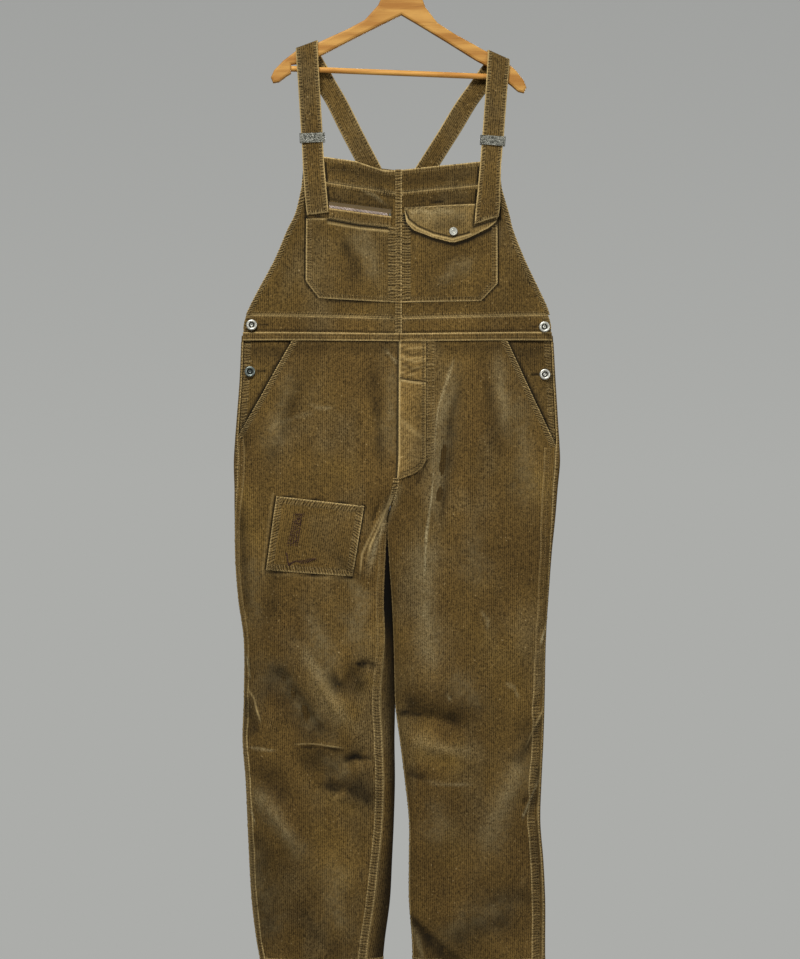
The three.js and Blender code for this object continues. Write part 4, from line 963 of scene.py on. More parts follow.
# Long straps: centre, half width across and its rise at the outer edge
STRAPS = {
    "right": {
        "arch": (-153.5, -170.5), "slope": 0.38, "end": (-144.5, -12, -316.4),
        "behind": [
            (-135, 9.2, -205), (-106, 10, -252.5), (-81, 12, -302), (-55, 13.5, -351.5),
            (-24.5, 16, -410), (-6.6, 17.5, -444), (11.2, 19.5, -478), (22.7, 22.4, -500),
            (41, 24.2, -535),
        ],
    },
    "left": {
        "arch": (162.5, -187.6), "slope": -0.46, "end": (152.5, -12, -321.4),
        "behind": [
            (146, 9.2, -210), (113, 10, -252.5), (82.5, 12.5, -302), (51, 15.5, -351.5),
            (14.5, 19.6, -410), (-6.6, 21.2, -444), (-28, 22.8, -478), (-41.6, 22.9, -500),
            (-63, 24.5, -535),
        ],
    },
}
STRAP_HALF = 18
STRAP_HALF_BEHIND = 19
ARCH_RADIUS = 9
ARCH_STEPS = 12
FRONT_STEPS = 8


def strap_rows(side):
    """Rows of centre x, y, z, half width and rise, from the slide over the hanger to the yoke."""
    strap = STRAPS[side]
    arch_x, arch_z = strap["arch"]
    end_x, end_y, end_z = strap["end"]
    rise = STRAP_HALF * strap["slope"]
    rows = []
    for share in np.arange(FRONT_STEPS) / FRONT_STEPS:
        centre = (
            mix(end_x, arch_x, share),
            mix(end_y, -ARCH_RADIUS, share),
            mix(end_z, arch_z, share),
        )
        rows.append((*centre, STRAP_HALF, rise * smooth((share - 0.6) / 0.4)))
    for share in np.arange(ARCH_STEPS + 1) / ARCH_STEPS:
        angle = math.pi * share
        half = mix(STRAP_HALF, STRAP_HALF_BEHIND, share)
        centre = (arch_x, -ARCH_RADIUS * math.cos(angle), arch_z + ARCH_RADIUS * math.sin(angle))
        rows.append((*centre, half, rise))
    for number, centre in enumerate(strap["behind"]):
        rows.append((*centre, STRAP_HALF_BEHIND, rise * 0.4 if number == 0 else 0))
    return np.array(rows, float)


def long_strap(side):
    rows = strap_rows(side)
    steps = np.linalg.norm(np.diff(rows[:, :3], axis=0), axis=1)
    walked = np.concatenate([[0], np.cumsum(steps)])
    shares = walked / walked[-1]

    def column(v, index):
        """Monotone smooth interpolation of one column along the strap."""
        values = rows[:, index]
        slopes = np.gradient(values, shares)
        k = np.clip(np.searchsorted(shares, v, side="right") - 1, 0, len(shares) - 2)
        step = shares[k + 1] - shares[k]
        t = (v - shares[k]) / step
        rise = 3 * t**2 - 2 * t**3
        bend = (t**3 - 2 * t**2 + t) * step * slopes[k] + (t**3 - t**2) * step * slopes[k + 1]
        return (1 - rise) * values[k] + rise * values[k + 1] + bend

    def place(v, u):
        v, u = np.broadcast_arrays(np.clip(v, 0, 1), u)
        across = 2 * u - 1
        x = column(v, 0) + across * column(v, 3)
        return np.stack([x, column(v, 1), column(v, 2) + across * column(v, 4)], axis=-1)
    return place


# Materials
def linear(red, green, blue, factor=1.0):
    """A linear colour with its alpha, from sRGB values of 0 to 255."""
    def one(value):
        c = value / 255
        return (c / 12.92 if c <= 0.04045 else ((c + 0.055) / 1.055) ** 2.4) * factor
    return (one(red), one(green), one(blue), 1.0)


class Nodes:
    """A short way to write a material's nodes."""

    def __init__(self, name):
        self.material = bpy.data.materials.new(name)
        self.material.use_nodes = True
        self.tree = self.material.node_tree
        self.shader = self.tree.nodes["Principled BSDF"]

    def add(self, kind, **settings):
        node = self.tree.nodes.new("ShaderNode" + kind)
        for key, value in settings.items():
            setattr(node, key, value)
        return node

    def put(self, socket, value):
        if isinstance(value, bpy.types.NodeSocket):
            self.tree.links.new(value, socket)
        elif value is not None:
            socket.default_value = value

    def math(self, operation, first, second=None, third=None):
        node = self.add("Math", operation=operation)
        for socket, value in zip(node.inputs, (first, second, third)):
            self.put(socket, value)
        return node.outputs[0]

    def blend(self, share, first, second, mode="MIX"):
        node = self.add("Mix", data_type="RGBA", blend_type=mode)
        self.put(node.inputs["Factor"], share)
        self.put(node.inputs["A"], first)
        self.put(node.inputs["B"], second)
        return node.outputs["Result"]

    def ramp(self, value, low, high, to_low=0.0, to_high=1.0):
        node = self.add("MapRange", interpolation_type="SMOOTHSTEP")
        limits = {"From Min": low, "From Max": high, "To Min": to_low, "To Max": to_high}
        for name, number in limits.items():
            node.inputs[name].default_value = number
        self.put(node.inputs["Value"], value)
        return node.outputs[0]

    def noise(self, scale, detail=2.0, roughness=0.5, vector=None, stretch=None):
        where = vector or self.position()
        if stretch:
            mapping = self.add("Mapping")
            mapping.inputs["Scale"].default_value = stretch
            self.put(mapping.inputs["Vector"], where)
            where = mapping.outputs[0]
        node = self.add("TexNoise")
        node.inputs["Scale"].default_value = scale
        node.inputs["Detail"].default_value = detail
        node.inputs["Roughness"].default_value = roughness
        self.put(node.inputs["Vector"], where)
        return node.outputs[0]

    def position(self):
        return self.add("TexCoord").outputs["Object"]

    def attribute(self, name):
        return self.add("Attribute", attribute_name=name).outputs["Fac"]

    def bump(self, height, strength, distance, before=None):
        node = self.add("Bump")
        node.inputs["Strength"].default_value = strength
        node.inputs["Distance"].default_value = distance
        self.put(node.inputs["Height"], height)
        self.put(node.inputs["Normal"], before)
        return node.outputs[0]

    def finish(self, **inputs):
        for name, value in inputs.items():
            self.put(self.shader.inputs[name.replace("_", " ")], value)
        return self.material


# Tone colours: pale wear, which also gives painted highlights; faded grey, which also gives a painted pale
# bloom; painted sheen; gold, which also gives painted warm light on lit folds; and the colour of painted
# shade.
PALE_WEAR_AND_HIGHLIGHT = linear(210, 183, 126)
FADED_AND_BLOOM_GREY = linear(128, 115, 84)
SHEEN = linear(176, 162, 124)
GOLD = linear(140, 113, 58)
GOLD_GROOVE = linear(64, 50, 22)
SHADED = linear(9, 7, 4)
SPECK = linear(196, 178, 138)


def corduroy(name, crest, groove, fade=0.3, sheen=0.16):
    """Uneven wales along the cloth's grain, matted pile, faded patches, wear, and painted light and shade
    from the tones.
    """
    n = Nodes(name)
    uv = n.add("UVMap").outputs[0]
    parts = n.add("SeparateXYZ")
    n.put(parts.inputs[0], uv)
    wander = n.math("MULTIPLY", n.math("SUBTRACT", n.noise(55, 2), 0.5), 0.0012)
    turns = n.math("MULTIPLY", n.math("ADD", parts.outputs[0], wander), 2 * math.pi / (WALE * METRE))
    wale = n.math("MULTIPLY_ADD", n.math("COSINE", turns), 0.5, 0.5)
    tuft = n.noise(520, 3, 0.75, stretch=(1, 1, 0.7))
    matted = n.noise(300, 3, 0.7)
    each_wale = n.noise(1.0, 2, 0.6, vector=uv, stretch=(1 / (WALE * METRE), 110, 1))
    rise = n.math("ADD", n.math("MULTIPLY", wale, 0.22), n.math("MULTIPLY", tuft, 0.95))
    rise = n.math("ADD", rise, n.math("MULTIPLY", n.math("SUBTRACT", matted, 0.5), 1.0))
    rise = n.math("ADD", rise, n.math("MULTIPLY", n.math("SUBTRACT", each_wale, 0.5), 0.4))
    crown = n.ramp(rise, 0.2, 0.92)
    warm = n.ramp(n.noise(7, 4, 0.62), 0.4, 0.62)
    cool = n.ramp(n.noise(11, 4, 0.62, stretch=(1, 1, 0.6)), 0.45, 0.72)
    colour = n.blend(crown, groove, crest)
    golden = n.blend(crown, GOLD_GROOVE, GOLD)
    colour = n.blend(n.math("MULTIPLY", warm, 0.18), colour, golden)
    faded = n.blend(crown, groove, FADED_AND_BLOOM_GREY)
    colour = n.blend(n.math("MULTIPLY", cool, fade), colour, faded)
    # Gold tone: painted warm light on lit fold ridges, with warm colour patches.
    colour = n.blend(n.math("MULTIPLY", n.attribute("gold"), 0.8), colour, golden)
    # Grey tone: faded nap, and also a painted pale bloom along lit folds.
    mottle = n.ramp(n.noise(90, 4, 0.65), 0.3, 0.7, 0.3, 1.0)
    pile = n.math("MULTIPLY", mottle, n.math("MULTIPLY_ADD", crown, 0.6, 0.4))
    colour = n.blend(n.math("MULTIPLY", n.attribute("grey"), pile), colour, FADED_AND_BLOOM_GREY)
    # Wear tone: pale wear, and also painted rim highlights along silhouettes and highlights on crease
    # ridges.
    worn = n.math("MULTIPLY", n.attribute("wear"), n.math("MULTIPLY_ADD", matted, 1.2, 0.35))
    colour = n.blend(worn, colour, PALE_WEAR_AND_HIGHLIGHT)
    # Sheen tone: a painted highlight, broken up by the pile.
    hairs = n.ramp(n.math("ADD", tuft, n.math("MULTIPLY", matted, 0.6)), 0.6, 1.0, 0.1, 1.1)
    colour = n.blend(n.math("MULTIPLY", n.attribute("sheen"), hairs), colour, SHEEN)
    lint = n.math("GREATER_THAN", n.noise(300, 1), 0.77)
    colour = n.blend(n.math("MULTIPLY", lint, 0.35), colour, SPECK)
    # Dark tone: painted shade in fold troughs, recesses, stitch grooves and pucker hollows, and painted
    # shadows beside pieces on top.
    dark = n.attribute("dark")
    colour = n.blend(dark, colour, SHADED)
    # Ticks between stitches: painted shade in the pucker hollows and a painted highlight on their crests.
    tick = n.attribute("tick")
    wander = n.math("MULTIPLY", n.noise(48, 2), 2.4)
    turns = n.math("MULTIPLY", n.math("ADD", n.attribute("walk"), wander), 2 * math.pi)
    wave = n.math("MULTIPLY_ADD", n.math("COSINE", turns), 0.5, 0.5)
    colour = n.blend(n.math("MULTIPLY", n.ramp(wave, 0.45, 0.95, 0, 0.8), tick), colour, SHADED)
    colour = n.blend(n.math("MULTIPLY", n.ramp(wave, 0.05, 0.5, 0.16, 0), tick), colour, PALE_WEAR_AND_HIGHLIGHT)
    # Random clouds of tone, and the cloth darker towards the bottom.
    clouds = n.ramp(n.noise(14, 5, 0.6, stretch=(1, 1, 0.7)), 0.3, 0.7, 0.86, 1.16)
    height = n.add("SeparateXYZ")
    n.put(height.inputs[0], n.position())
    darker_towards_bottom = n.ramp(height.outputs[2], -1.5, -1.15, 0.86, 1.0)
    colour = n.blend(1.0, colour, n.math("MULTIPLY", clouds, darker_towards_bottom), "MULTIPLY")
    relief = n.bump(wale, 0.25, 0.0004)
    relief = n.bump(rise, 0.8, 0.0007, relief)
    relief = n.bump(n.math("MULTIPLY", n.math("SUBTRACT", 1.0, wave), tick), 0.7, 0.0008, relief)
    return n.finish(
        Base_Color=colour, Roughness=0.92, Normal=relief, Sheen_Weight=sheen,
        Sheen_Roughness=0.45, Sheen_Tint=linear(190, 165, 115), Specular_IOR_Level=0.12,
    )


def thread(name, colour):
    """Twisted sewing thread."""
    n = Nodes(name)
    twist = n.noise(1800, 1)
    shade = n.blend(n.ramp(twist, 0.35, 0.65, 0, 0.5), colour, linear(70, 52, 30))
    return n.finish(Base_Color=shade, Roughness=0.8, Normal=n.bump(twist, 0.4, 0.0002))


def old_silver(name, bright, dark, wear=0.5):
    """Plated metal with a dark, crackled patina in its low places."""
    n = Nodes(name)
    cracks = n.add("TexVoronoi", feature="DISTANCE_TO_EDGE")
    cracks.inputs["Scale"].default_value = 420
    n.put(cracks.inputs["Vector"], n.position())
    edge = n.ramp(cracks.outputs["Distance"], 0.02, 0.18)
    clouds = n.noise(260, 4, 0.65)
    bare = n.math("MULTIPLY", edge, n.ramp(clouds, wear - 0.15, wear + 0.15))
    colour = n.blend(bare, dark, bright)
    relief = n.bump(n.math("ADD", edge, clouds), 0.5, 0.0003)
    roughness = n.ramp(bare, 0, 1, 0.62, 0.34)
    return n.finish(Base_Color=colour, Metallic=0.85, Roughness=roughness, Normal=relief)


def cast_silver(name, bright, dark):
    """Cast metal, dark in its grooves and rubbed bright on its crests."""
    n = Nodes(name)
    clouds = n.noise(330, 3, 0.6)
    groove = n.attribute("dark")
    drift = n.math("MULTIPLY", n.math("SUBTRACT", clouds, 0.5), 0.9)
    share = n.ramp(n.math("ADD", groove, drift), 0.15, 0.75)
    colour = n.blend(share, bright, dark)
    return n.finish(Base_Color=colour, Metallic=0.75, Roughness=n.ramp(share, 0, 1, 0.36, 0.7),
                    Normal=n.bump(clouds, 0.35, 0.0003))


def beech(name, shade=1.0):
    """Lacquered wood with grain along X."""
    n = Nodes(name)
    rings = n.noise(34, 3, 0.55, stretch=(0.22, 1, 2.6))
    pores = n.noise(420, 2, 0.6, stretch=(0.08, 1, 1))
    colour = n.blend(n.ramp(rings, 0.3, 0.7), linear(206, 156, 82, shade), linear(168, 114, 50, shade))
    colour = n.blend(n.ramp(pores, 0.55, 0.75, 0, 0.35), colour, linear(120, 80, 38))
    relief = n.bump(pores, 0.12, 0.0003)
    return n.finish(Base_Color=colour, Roughness=n.ramp(pores, 0.3, 0.8, 0.5, 0.62), Normal=relief,
                    Specular_IOR_Level=0.18)


def wire(name):
    """Bright plated wire with fine drawing marks."""
    n = Nodes(name)
    marks = n.noise(600, 2, 0.5, stretch=(1, 1, 0.15))
    colour = n.blend(n.ramp(marks, 0.3, 0.7), linear(205, 205, 200), linear(160, 160, 155))
    return n.finish(Base_Color=colour, Metallic=1.0, Roughness=n.ramp(marks, 0.3, 0.7, 0.2, 0.34),
                    Normal=n.bump(marks, 0.15, 0.0002))


def woven_tape(name):
    """Plain weave of a zip's tape."""
    n = Nodes(name)
    weave = n.add("TexWave", bands_direction="DIAGONAL")
    weave.inputs["Scale"].default_value = 260
    n.put(weave.inputs["Vector"], n.position())
    clouds = n.noise(120, 3)
    colour = n.blend(weave.outputs["Fac"], linear(104, 86, 54), linear(70, 56, 33))
    colour = n.blend(n.ramp(clouds, 0.4, 0.7, 0, 0.3), colour, linear(96, 82, 56))
    # Painted shade where the dark tone is set.
    colour = n.blend(n.math("MULTIPLY", n.attribute("dark"), 0.7), colour, linear(30, 22, 12))
    return n.finish(Base_Color=colour, Roughness=0.9, Normal=n.bump(weave.outputs["Fac"], 0.4, 0.0003))


CLOTH = {
    "bib": corduroy("bib_corduroy", linear(104, 82, 42), linear(38, 28, 11)),
    "band": corduroy("band_corduroy", linear(106, 83, 43), linear(40, 29, 11)),
    "leg": corduroy("leg_corduroy", linear(107, 84, 44), linear(40, 29, 11), 0.36),
    "behind": corduroy("leg_behind_corduroy", linear(107, 84, 44), linear(40, 29, 11), 0.36, 0.0),
    "hip": corduroy("hip_corduroy", linear(104, 82, 43), linear(38, 28, 11)),
    "fly": corduroy("fly_corduroy", linear(142, 115, 66), linear(62, 47, 21)),
    "strap": corduroy("strap_corduroy", linear(104, 82, 43), linear(34, 25, 10)),
    "patch": corduroy("patch_corduroy", linear(114, 90, 47), linear(46, 34, 14)),
    "flap": corduroy("flap_corduroy", linear(136, 112, 67), linear(58, 46, 22)),
    "seam": corduroy("seam_corduroy", linear(115, 91, 49), linear(46, 34, 15)),
}
TAN_THREAD = thread("tan_thread", linear(160, 132, 80))
DARN_THREAD = thread("darning_thread", linear(62, 32, 30))


# Meshes
def make_piece(name, points, faces, materials, uv=None, tones=None, smooth_angle=60):
    """A mesh in metres from points in millimetres; faces are triangles or quads."""
    mesh = bpy.data.meshes.new(name)
    points = np.asarray(points, float) * METRE
    sizes = np.concatenate([np.full(len(group), group.shape[1]) for group in faces]).astype(np.int32)
    corners = np.concatenate([group.ravel() for group in faces]).astype(np.int32)
    mesh.vertices.add(len(points))
    mesh.vertices.foreach_set("co", points.astype(np.float32).ravel())
    mesh.loops.add(len(corners))
    mesh.loops.foreach_set("vertex_index", corners)
    mesh.polygons.add(len(sizes))
    starts = np.concatenate([[0], np.cumsum(sizes)[:-1]]).astype(np.int32)
    mesh.polygons.foreach_set("loop_start", starts)
    mesh.update(calc_edges=True)
    if uv is not None:
        layer = mesh.uv_layers.new(name="UVMap")
        layer.data.foreach_set("uv", (uv[corners] * METRE).astype(np.float32).ravel())
    for tone, values in (tones or {}).items():
        layer = mesh.attributes.new(tone, "FLOAT", "POINT")
        layer.data.foreach_set("value", values.astype(np.float32))
    mesh.polygons.foreach_set("use_smooth", np.ones(len(sizes), bool))
    mesh.set_sharp_from_angle(angle=math.radians(smooth_angle))
    mesh.validate()
    for material in materials:
        mesh.materials.append(material)
    obj = bpy.data.objects.new(name, mesh)
    bpy.context.scene.collection.objects.link(obj)
    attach(obj, BODY)
    return obj


def pucker(t, seed):
    """An uneven ripple from -1 to 1 along a row of stitches."""
    a, b, c = np.random.default_rng(seed).uniform(0, 2 * math.pi, 3)
    phase = 2 * math.pi * t / PUCKER
    phase = phase + 1.5 * np.sin(2 * math.pi * t / 43 + a) + 0.9 * np.sin(2 * math.pi * t / 17.3 + b)
    return np.sin(phase) * (0.62 + 0.38 * np.sin(2 * math.pi * t / 31 + c))


class Sewn:
    """One sewn edge: rows of stitches at distances from it, with puckers between them."""

    def __init__(self, edge, lines, height=0.35, wear=0.5, start=0.0, end=1.0, slant=0.0, reach=5.0):
        self.edge = edge
        self.lines = lines
        self.height = height
        self.wear = wear
        self.start = start
        self.end = end
        self.slant = slant
        self.reach = reach


class Form:
    """The places of one piece's points, with their distances from its edges."""


def lay_out(place, rows, facing, columns_per_wale, columns, grain_x, samples, outline):
    """Rows and grain-wise columns over a place; a column past an edge is held on the edge."""
    v = np.asarray(rows, float)[:, None]
    fine_u = np.linspace(0, 1, samples)[None, :]
    fine = place(v, fine_u)
    along = np.gradient(fine, axis=1)
    down = np.gradient(fine, np.asarray(rows, float), axis=0)
    normal = np.cross(down, along) * facing
    normal /= np.maximum(np.linalg.norm(normal, axis=-1, keepdims=True), 1e-9)
    across_steps = np.linalg.norm(np.diff(fine, axis=1), axis=-1)
    arc = np.concatenate([np.zeros((len(v), 1)), np.cumsum(across_steps, axis=1)], axis=1)
    down_steps = np.linalg.norm(np.diff(fine, axis=0), axis=-1)
    drop = np.concatenate([np.zeros((1, samples)), np.cumsum(down_steps, axis=0)], axis=0)
    inset = SEAM_GAP / 2
    total = arc[:, -1]
    if columns:
        targets = np.linspace(0, 1, columns + 1)[None, :] * (total[:, None] - 2 * inset) + inset
        origin = total / 2
    else:
        if grain_x is None:
            origin = total / 2
        else:
            origin = np.empty(len(v))
            for r in range(len(v)):
                xs = fine[r, :, 0]
                order = np.argsort(xs)
                origin[r] = np.interp(grain_x, xs[order], arc[r, order])
                if grain_x < xs.min():
                    origin[r] -= (xs.min() - grain_x) * (1 if xs[0] < xs[-1] else -1)
                elif grain_x > xs.max():
                    origin[r] += (grain_x - xs.max()) * (1 if xs[0] < xs[-1] else -1)
        pitch = WALE / columns_per_wale
        first = math.floor((-origin).min() / pitch)
        last = math.ceil((total - origin).max() / pitch)
        targets = np.arange(first, last + 1)[None, :] * pitch + origin[:, None]
        targets = np.clip(targets, inset, (total - inset)[:, None])
    u = np.empty(targets.shape)
    form = Form()
    form.normal = np.empty(targets.shape + (3,))
    form.top = np.empty(targets.shape)
    for r in range(len(v)):
        u[r] = np.interp(targets[r], arc[r], fine_u[0])
        for axis in range(3):
            form.normal[r, :, axis] = np.interp(u[r], fine_u[0], normal[r, :, axis])
        form.top[r] = np.interp(u[r], fine_u[0], drop[r])
    column_length = np.interp(u, fine_u[0], drop[-1])
    form.point = place(v, u)
    form.at = targets
    form.left = targets
    form.right = total[:, None] - targets
    form.bottom = np.maximum(0, column_length - form.top)
    form.grain = targets - origin[:, None]
    form.fall = np.broadcast_to(form.top.mean(axis=1, keepdims=True), targets.shape)
    form.total = total
    form.flat = (total.max(), drop[-1].max())
    cells = across_steps[:-1] * down_steps[:, :-1]
    form.area = cells.sum()
    if outline:
        for name, column in (("left", 0), ("right", -1)):
            edge = fine[:, column]
            corners = np.linspace(0, len(edge) - 1, min(len(edge), 90)).astype(int)
            gaps = form.point[:, :, None, :] - edge[corners][None, None]
            nearest_corner = np.linalg.norm(gaps, axis=-1).min(axis=2)
            setattr(form, name, np.minimum(getattr(form, name), nearest_corner))
    return form


THREADS = {}


def sew_line(threads, place, facing, sewn, distance, lift, rise, samples=181):
    """Adds one row of stitches at a distance from an edge of a place."""
    if sewn.edge in ("left", "right"):
        v = np.linspace(sewn.start, sewn.end, 260)[:, None]
        u = np.linspace(0, 1, samples)[None, :]
        fine = place(v, u)
        steps = np.linalg.norm(np.diff(fine, axis=1), axis=-1)
        arc = np.concatenate([np.zeros((len(v), 1)), np.cumsum(steps, axis=1)], axis=1)
        target = np.full(len(v), distance) if sewn.edge == "left" else arc[:, -1] - distance
        at = np.array([np.interp(t, a, u[0]) for t, a in zip(target, arc)])
        row_v, row_u = v[:, 0], at
    else:
        length = np.linalg.norm(np.diff(place(np.linspace(0, 1, 60), 0.5), axis=0), axis=1).sum()
        share = distance / length
        row_u = np.linspace(sewn.start, sewn.end, 400)
        row_v = np.full(400, share if sewn.edge == "top" else 1 - share)
    step = 1e-3
    point = place(row_v, row_u)
    down = place(np.minimum(row_v + step, 1), row_u) - place(np.maximum(row_v - step, 0), row_u)
    along = place(row_v, np.minimum(row_u + step, 1)) - place(row_v, np.maximum(row_u - step, 0))
    normal = np.cross(down, along) * facing
    normal /= np.maximum(np.linalg.norm(normal, axis=1, keepdims=True), 1e-9)
    lifts = (lift(row_v) if callable(lift) else np.full(len(row_v), float(lift))) + rise
    THREADS.setdefault(threads, []).append((point + normal * lifts[:, None], normal))


GROOVE = 0.4
EDGE_LINE = 1.8
LINE_WIDTH = 0.9


EDGES = ("left", "right", "top", "bottom")


def relief_of(form, sewn_edges, wall, seed, roll, edge_wear, wale_relief):
    """Height over the smooth place, wear and painted shade tones, and the ticks between stitches."""
    height = np.zeros(form.at.shape)
    tick = np.zeros(form.at.shape)
    walked = np.zeros(form.at.shape)
    wales = wale_relief * np.cos(2 * math.pi * form.grain / WALE)
    wear = np.zeros(form.at.shape)
    dark = np.zeros(form.at.shape)
    distances = {name: getattr(form, name) for name in EDGES}
    for number, sewn in enumerate(sewn_edges):
        distance = distances[sewn.edge]
        upright = sewn.edge in ("left", "right")
        walk = form.top if upright else form.left
        span = (form.top + form.bottom) if upright else (form.left + form.right)
        share = walk / np.maximum(span, 1e-6)
        inside = smooth((share - sewn.start) / 0.02 + 1) * smooth((sewn.end - share) / 0.02 + 1)
        reached = [smooth((sewn.reach - np.abs(distance - line)) / 3) for line in sewn.lines]
        near = inside * np.max(reached, axis=0)
        ripple = pucker(walk + sewn.slant * distance, seed * 31 + number)
        held = np.ones(form.at.shape)
        for line in sewn.lines:
            held = held * (1 - np.exp(-(((distance - line) / LINE_WIDTH) ** 2)))
        height += near * (sewn.height * held * ripple - GROOVE * (1 - held))
        wales = wales * (1 - 0.5 * near)
        wear = np.maximum(wear, near * held * np.clip(ripple, 0, 1) * sewn.wear * 0.4)
        # Painted shade in the pucker hollows and in the groove under each row of stitches.
        hollow = np.clip(-1.3 * ripple - 0.1, 0, 1)
        under_thread = (1 - held) * (0.35 + 0.4 * hollow)
        dark = np.maximum(dark, near * (0.4 * sewn.wear * held * hollow + under_thread))
        chosen = near * sewn.wear > tick
        tick = np.where(chosen, near * sewn.wear, tick)
        walked = np.where(chosen, (walk + sewn.slant * distance) / TICK, walked)
    nearest = np.min([distances[name] for name in EDGES], axis=0)
    rounding = 1 - np.sqrt(np.clip(1 - (1 - np.clip(nearest / roll, 0, 1)) ** 2, 0, 1))
    height = height + wales * smooth(nearest / 1.5) - rounding * 0.7 * wall
    for name in EDGES:
        amount = edge_wear.get(name, 0) if isinstance(edge_wear, dict) else edge_wear
        ragged = 0.85 + 0.15 * pucker(form.top + form.at, seed + 3)
        wear = np.maximum(wear, amount * ragged * np.exp(-((distances[name] / EDGE_LINE) ** 2)))
    return height, wear, dark, np.clip(tick, 0, 1), walked


def shell_faces(form):
    """Triangles of the outer grid with the columns past an edge joined to the edge's point."""
    rows, columns = form.at.shape
    index = np.arange(rows * columns).reshape(rows, columns)
    first = np.array([np.nonzero(line <= line.min() + 1e-6)[0][-1] for line in form.at])
    last = np.array([np.nonzero(line >= line.max() - 1e-6)[0][0] for line in form.at])
    for r in range(rows):
        index[r, : first[r]] = index[r, first[r]]
        index[r, last[r] + 1:] = index[r, last[r]]
    a = index[:-1, :-1].ravel()
    b = index[:-1, 1:].ravel()
    c = index[1:, 1:].ravel()
    d = index[1:, :-1].ravel()
    triangles = np.concatenate([np.stack([a, b, c], 1), np.stack([a, c, d], 1)])
    keep = (triangles[:, 0] != triangles[:, 1]) & (triangles[:, 1] != triangles[:, 2]) \
        & (triangles[:, 2] != triangles[:, 0])
    return triangles[keep], index, first, last


def zip_rows(upper, upper_at, lower, lower_at):
    """Triangles between two rows of points with different numbers of columns."""
    faces = []
    i = j = 0
    while i + 1 < len(upper) or j + 1 < len(lower):
        step_upper = j + 1 >= len(lower) or (i + 1 < len(upper) and upper_at[i + 1] <= lower_at[j + 1])
        if step_upper:
            faces.append((upper[i], upper[i + 1], lower[j]))
            i += 1
        else:
            faces.append((upper[i], lower[j + 1], lower[j]))
            j += 1
    return faces


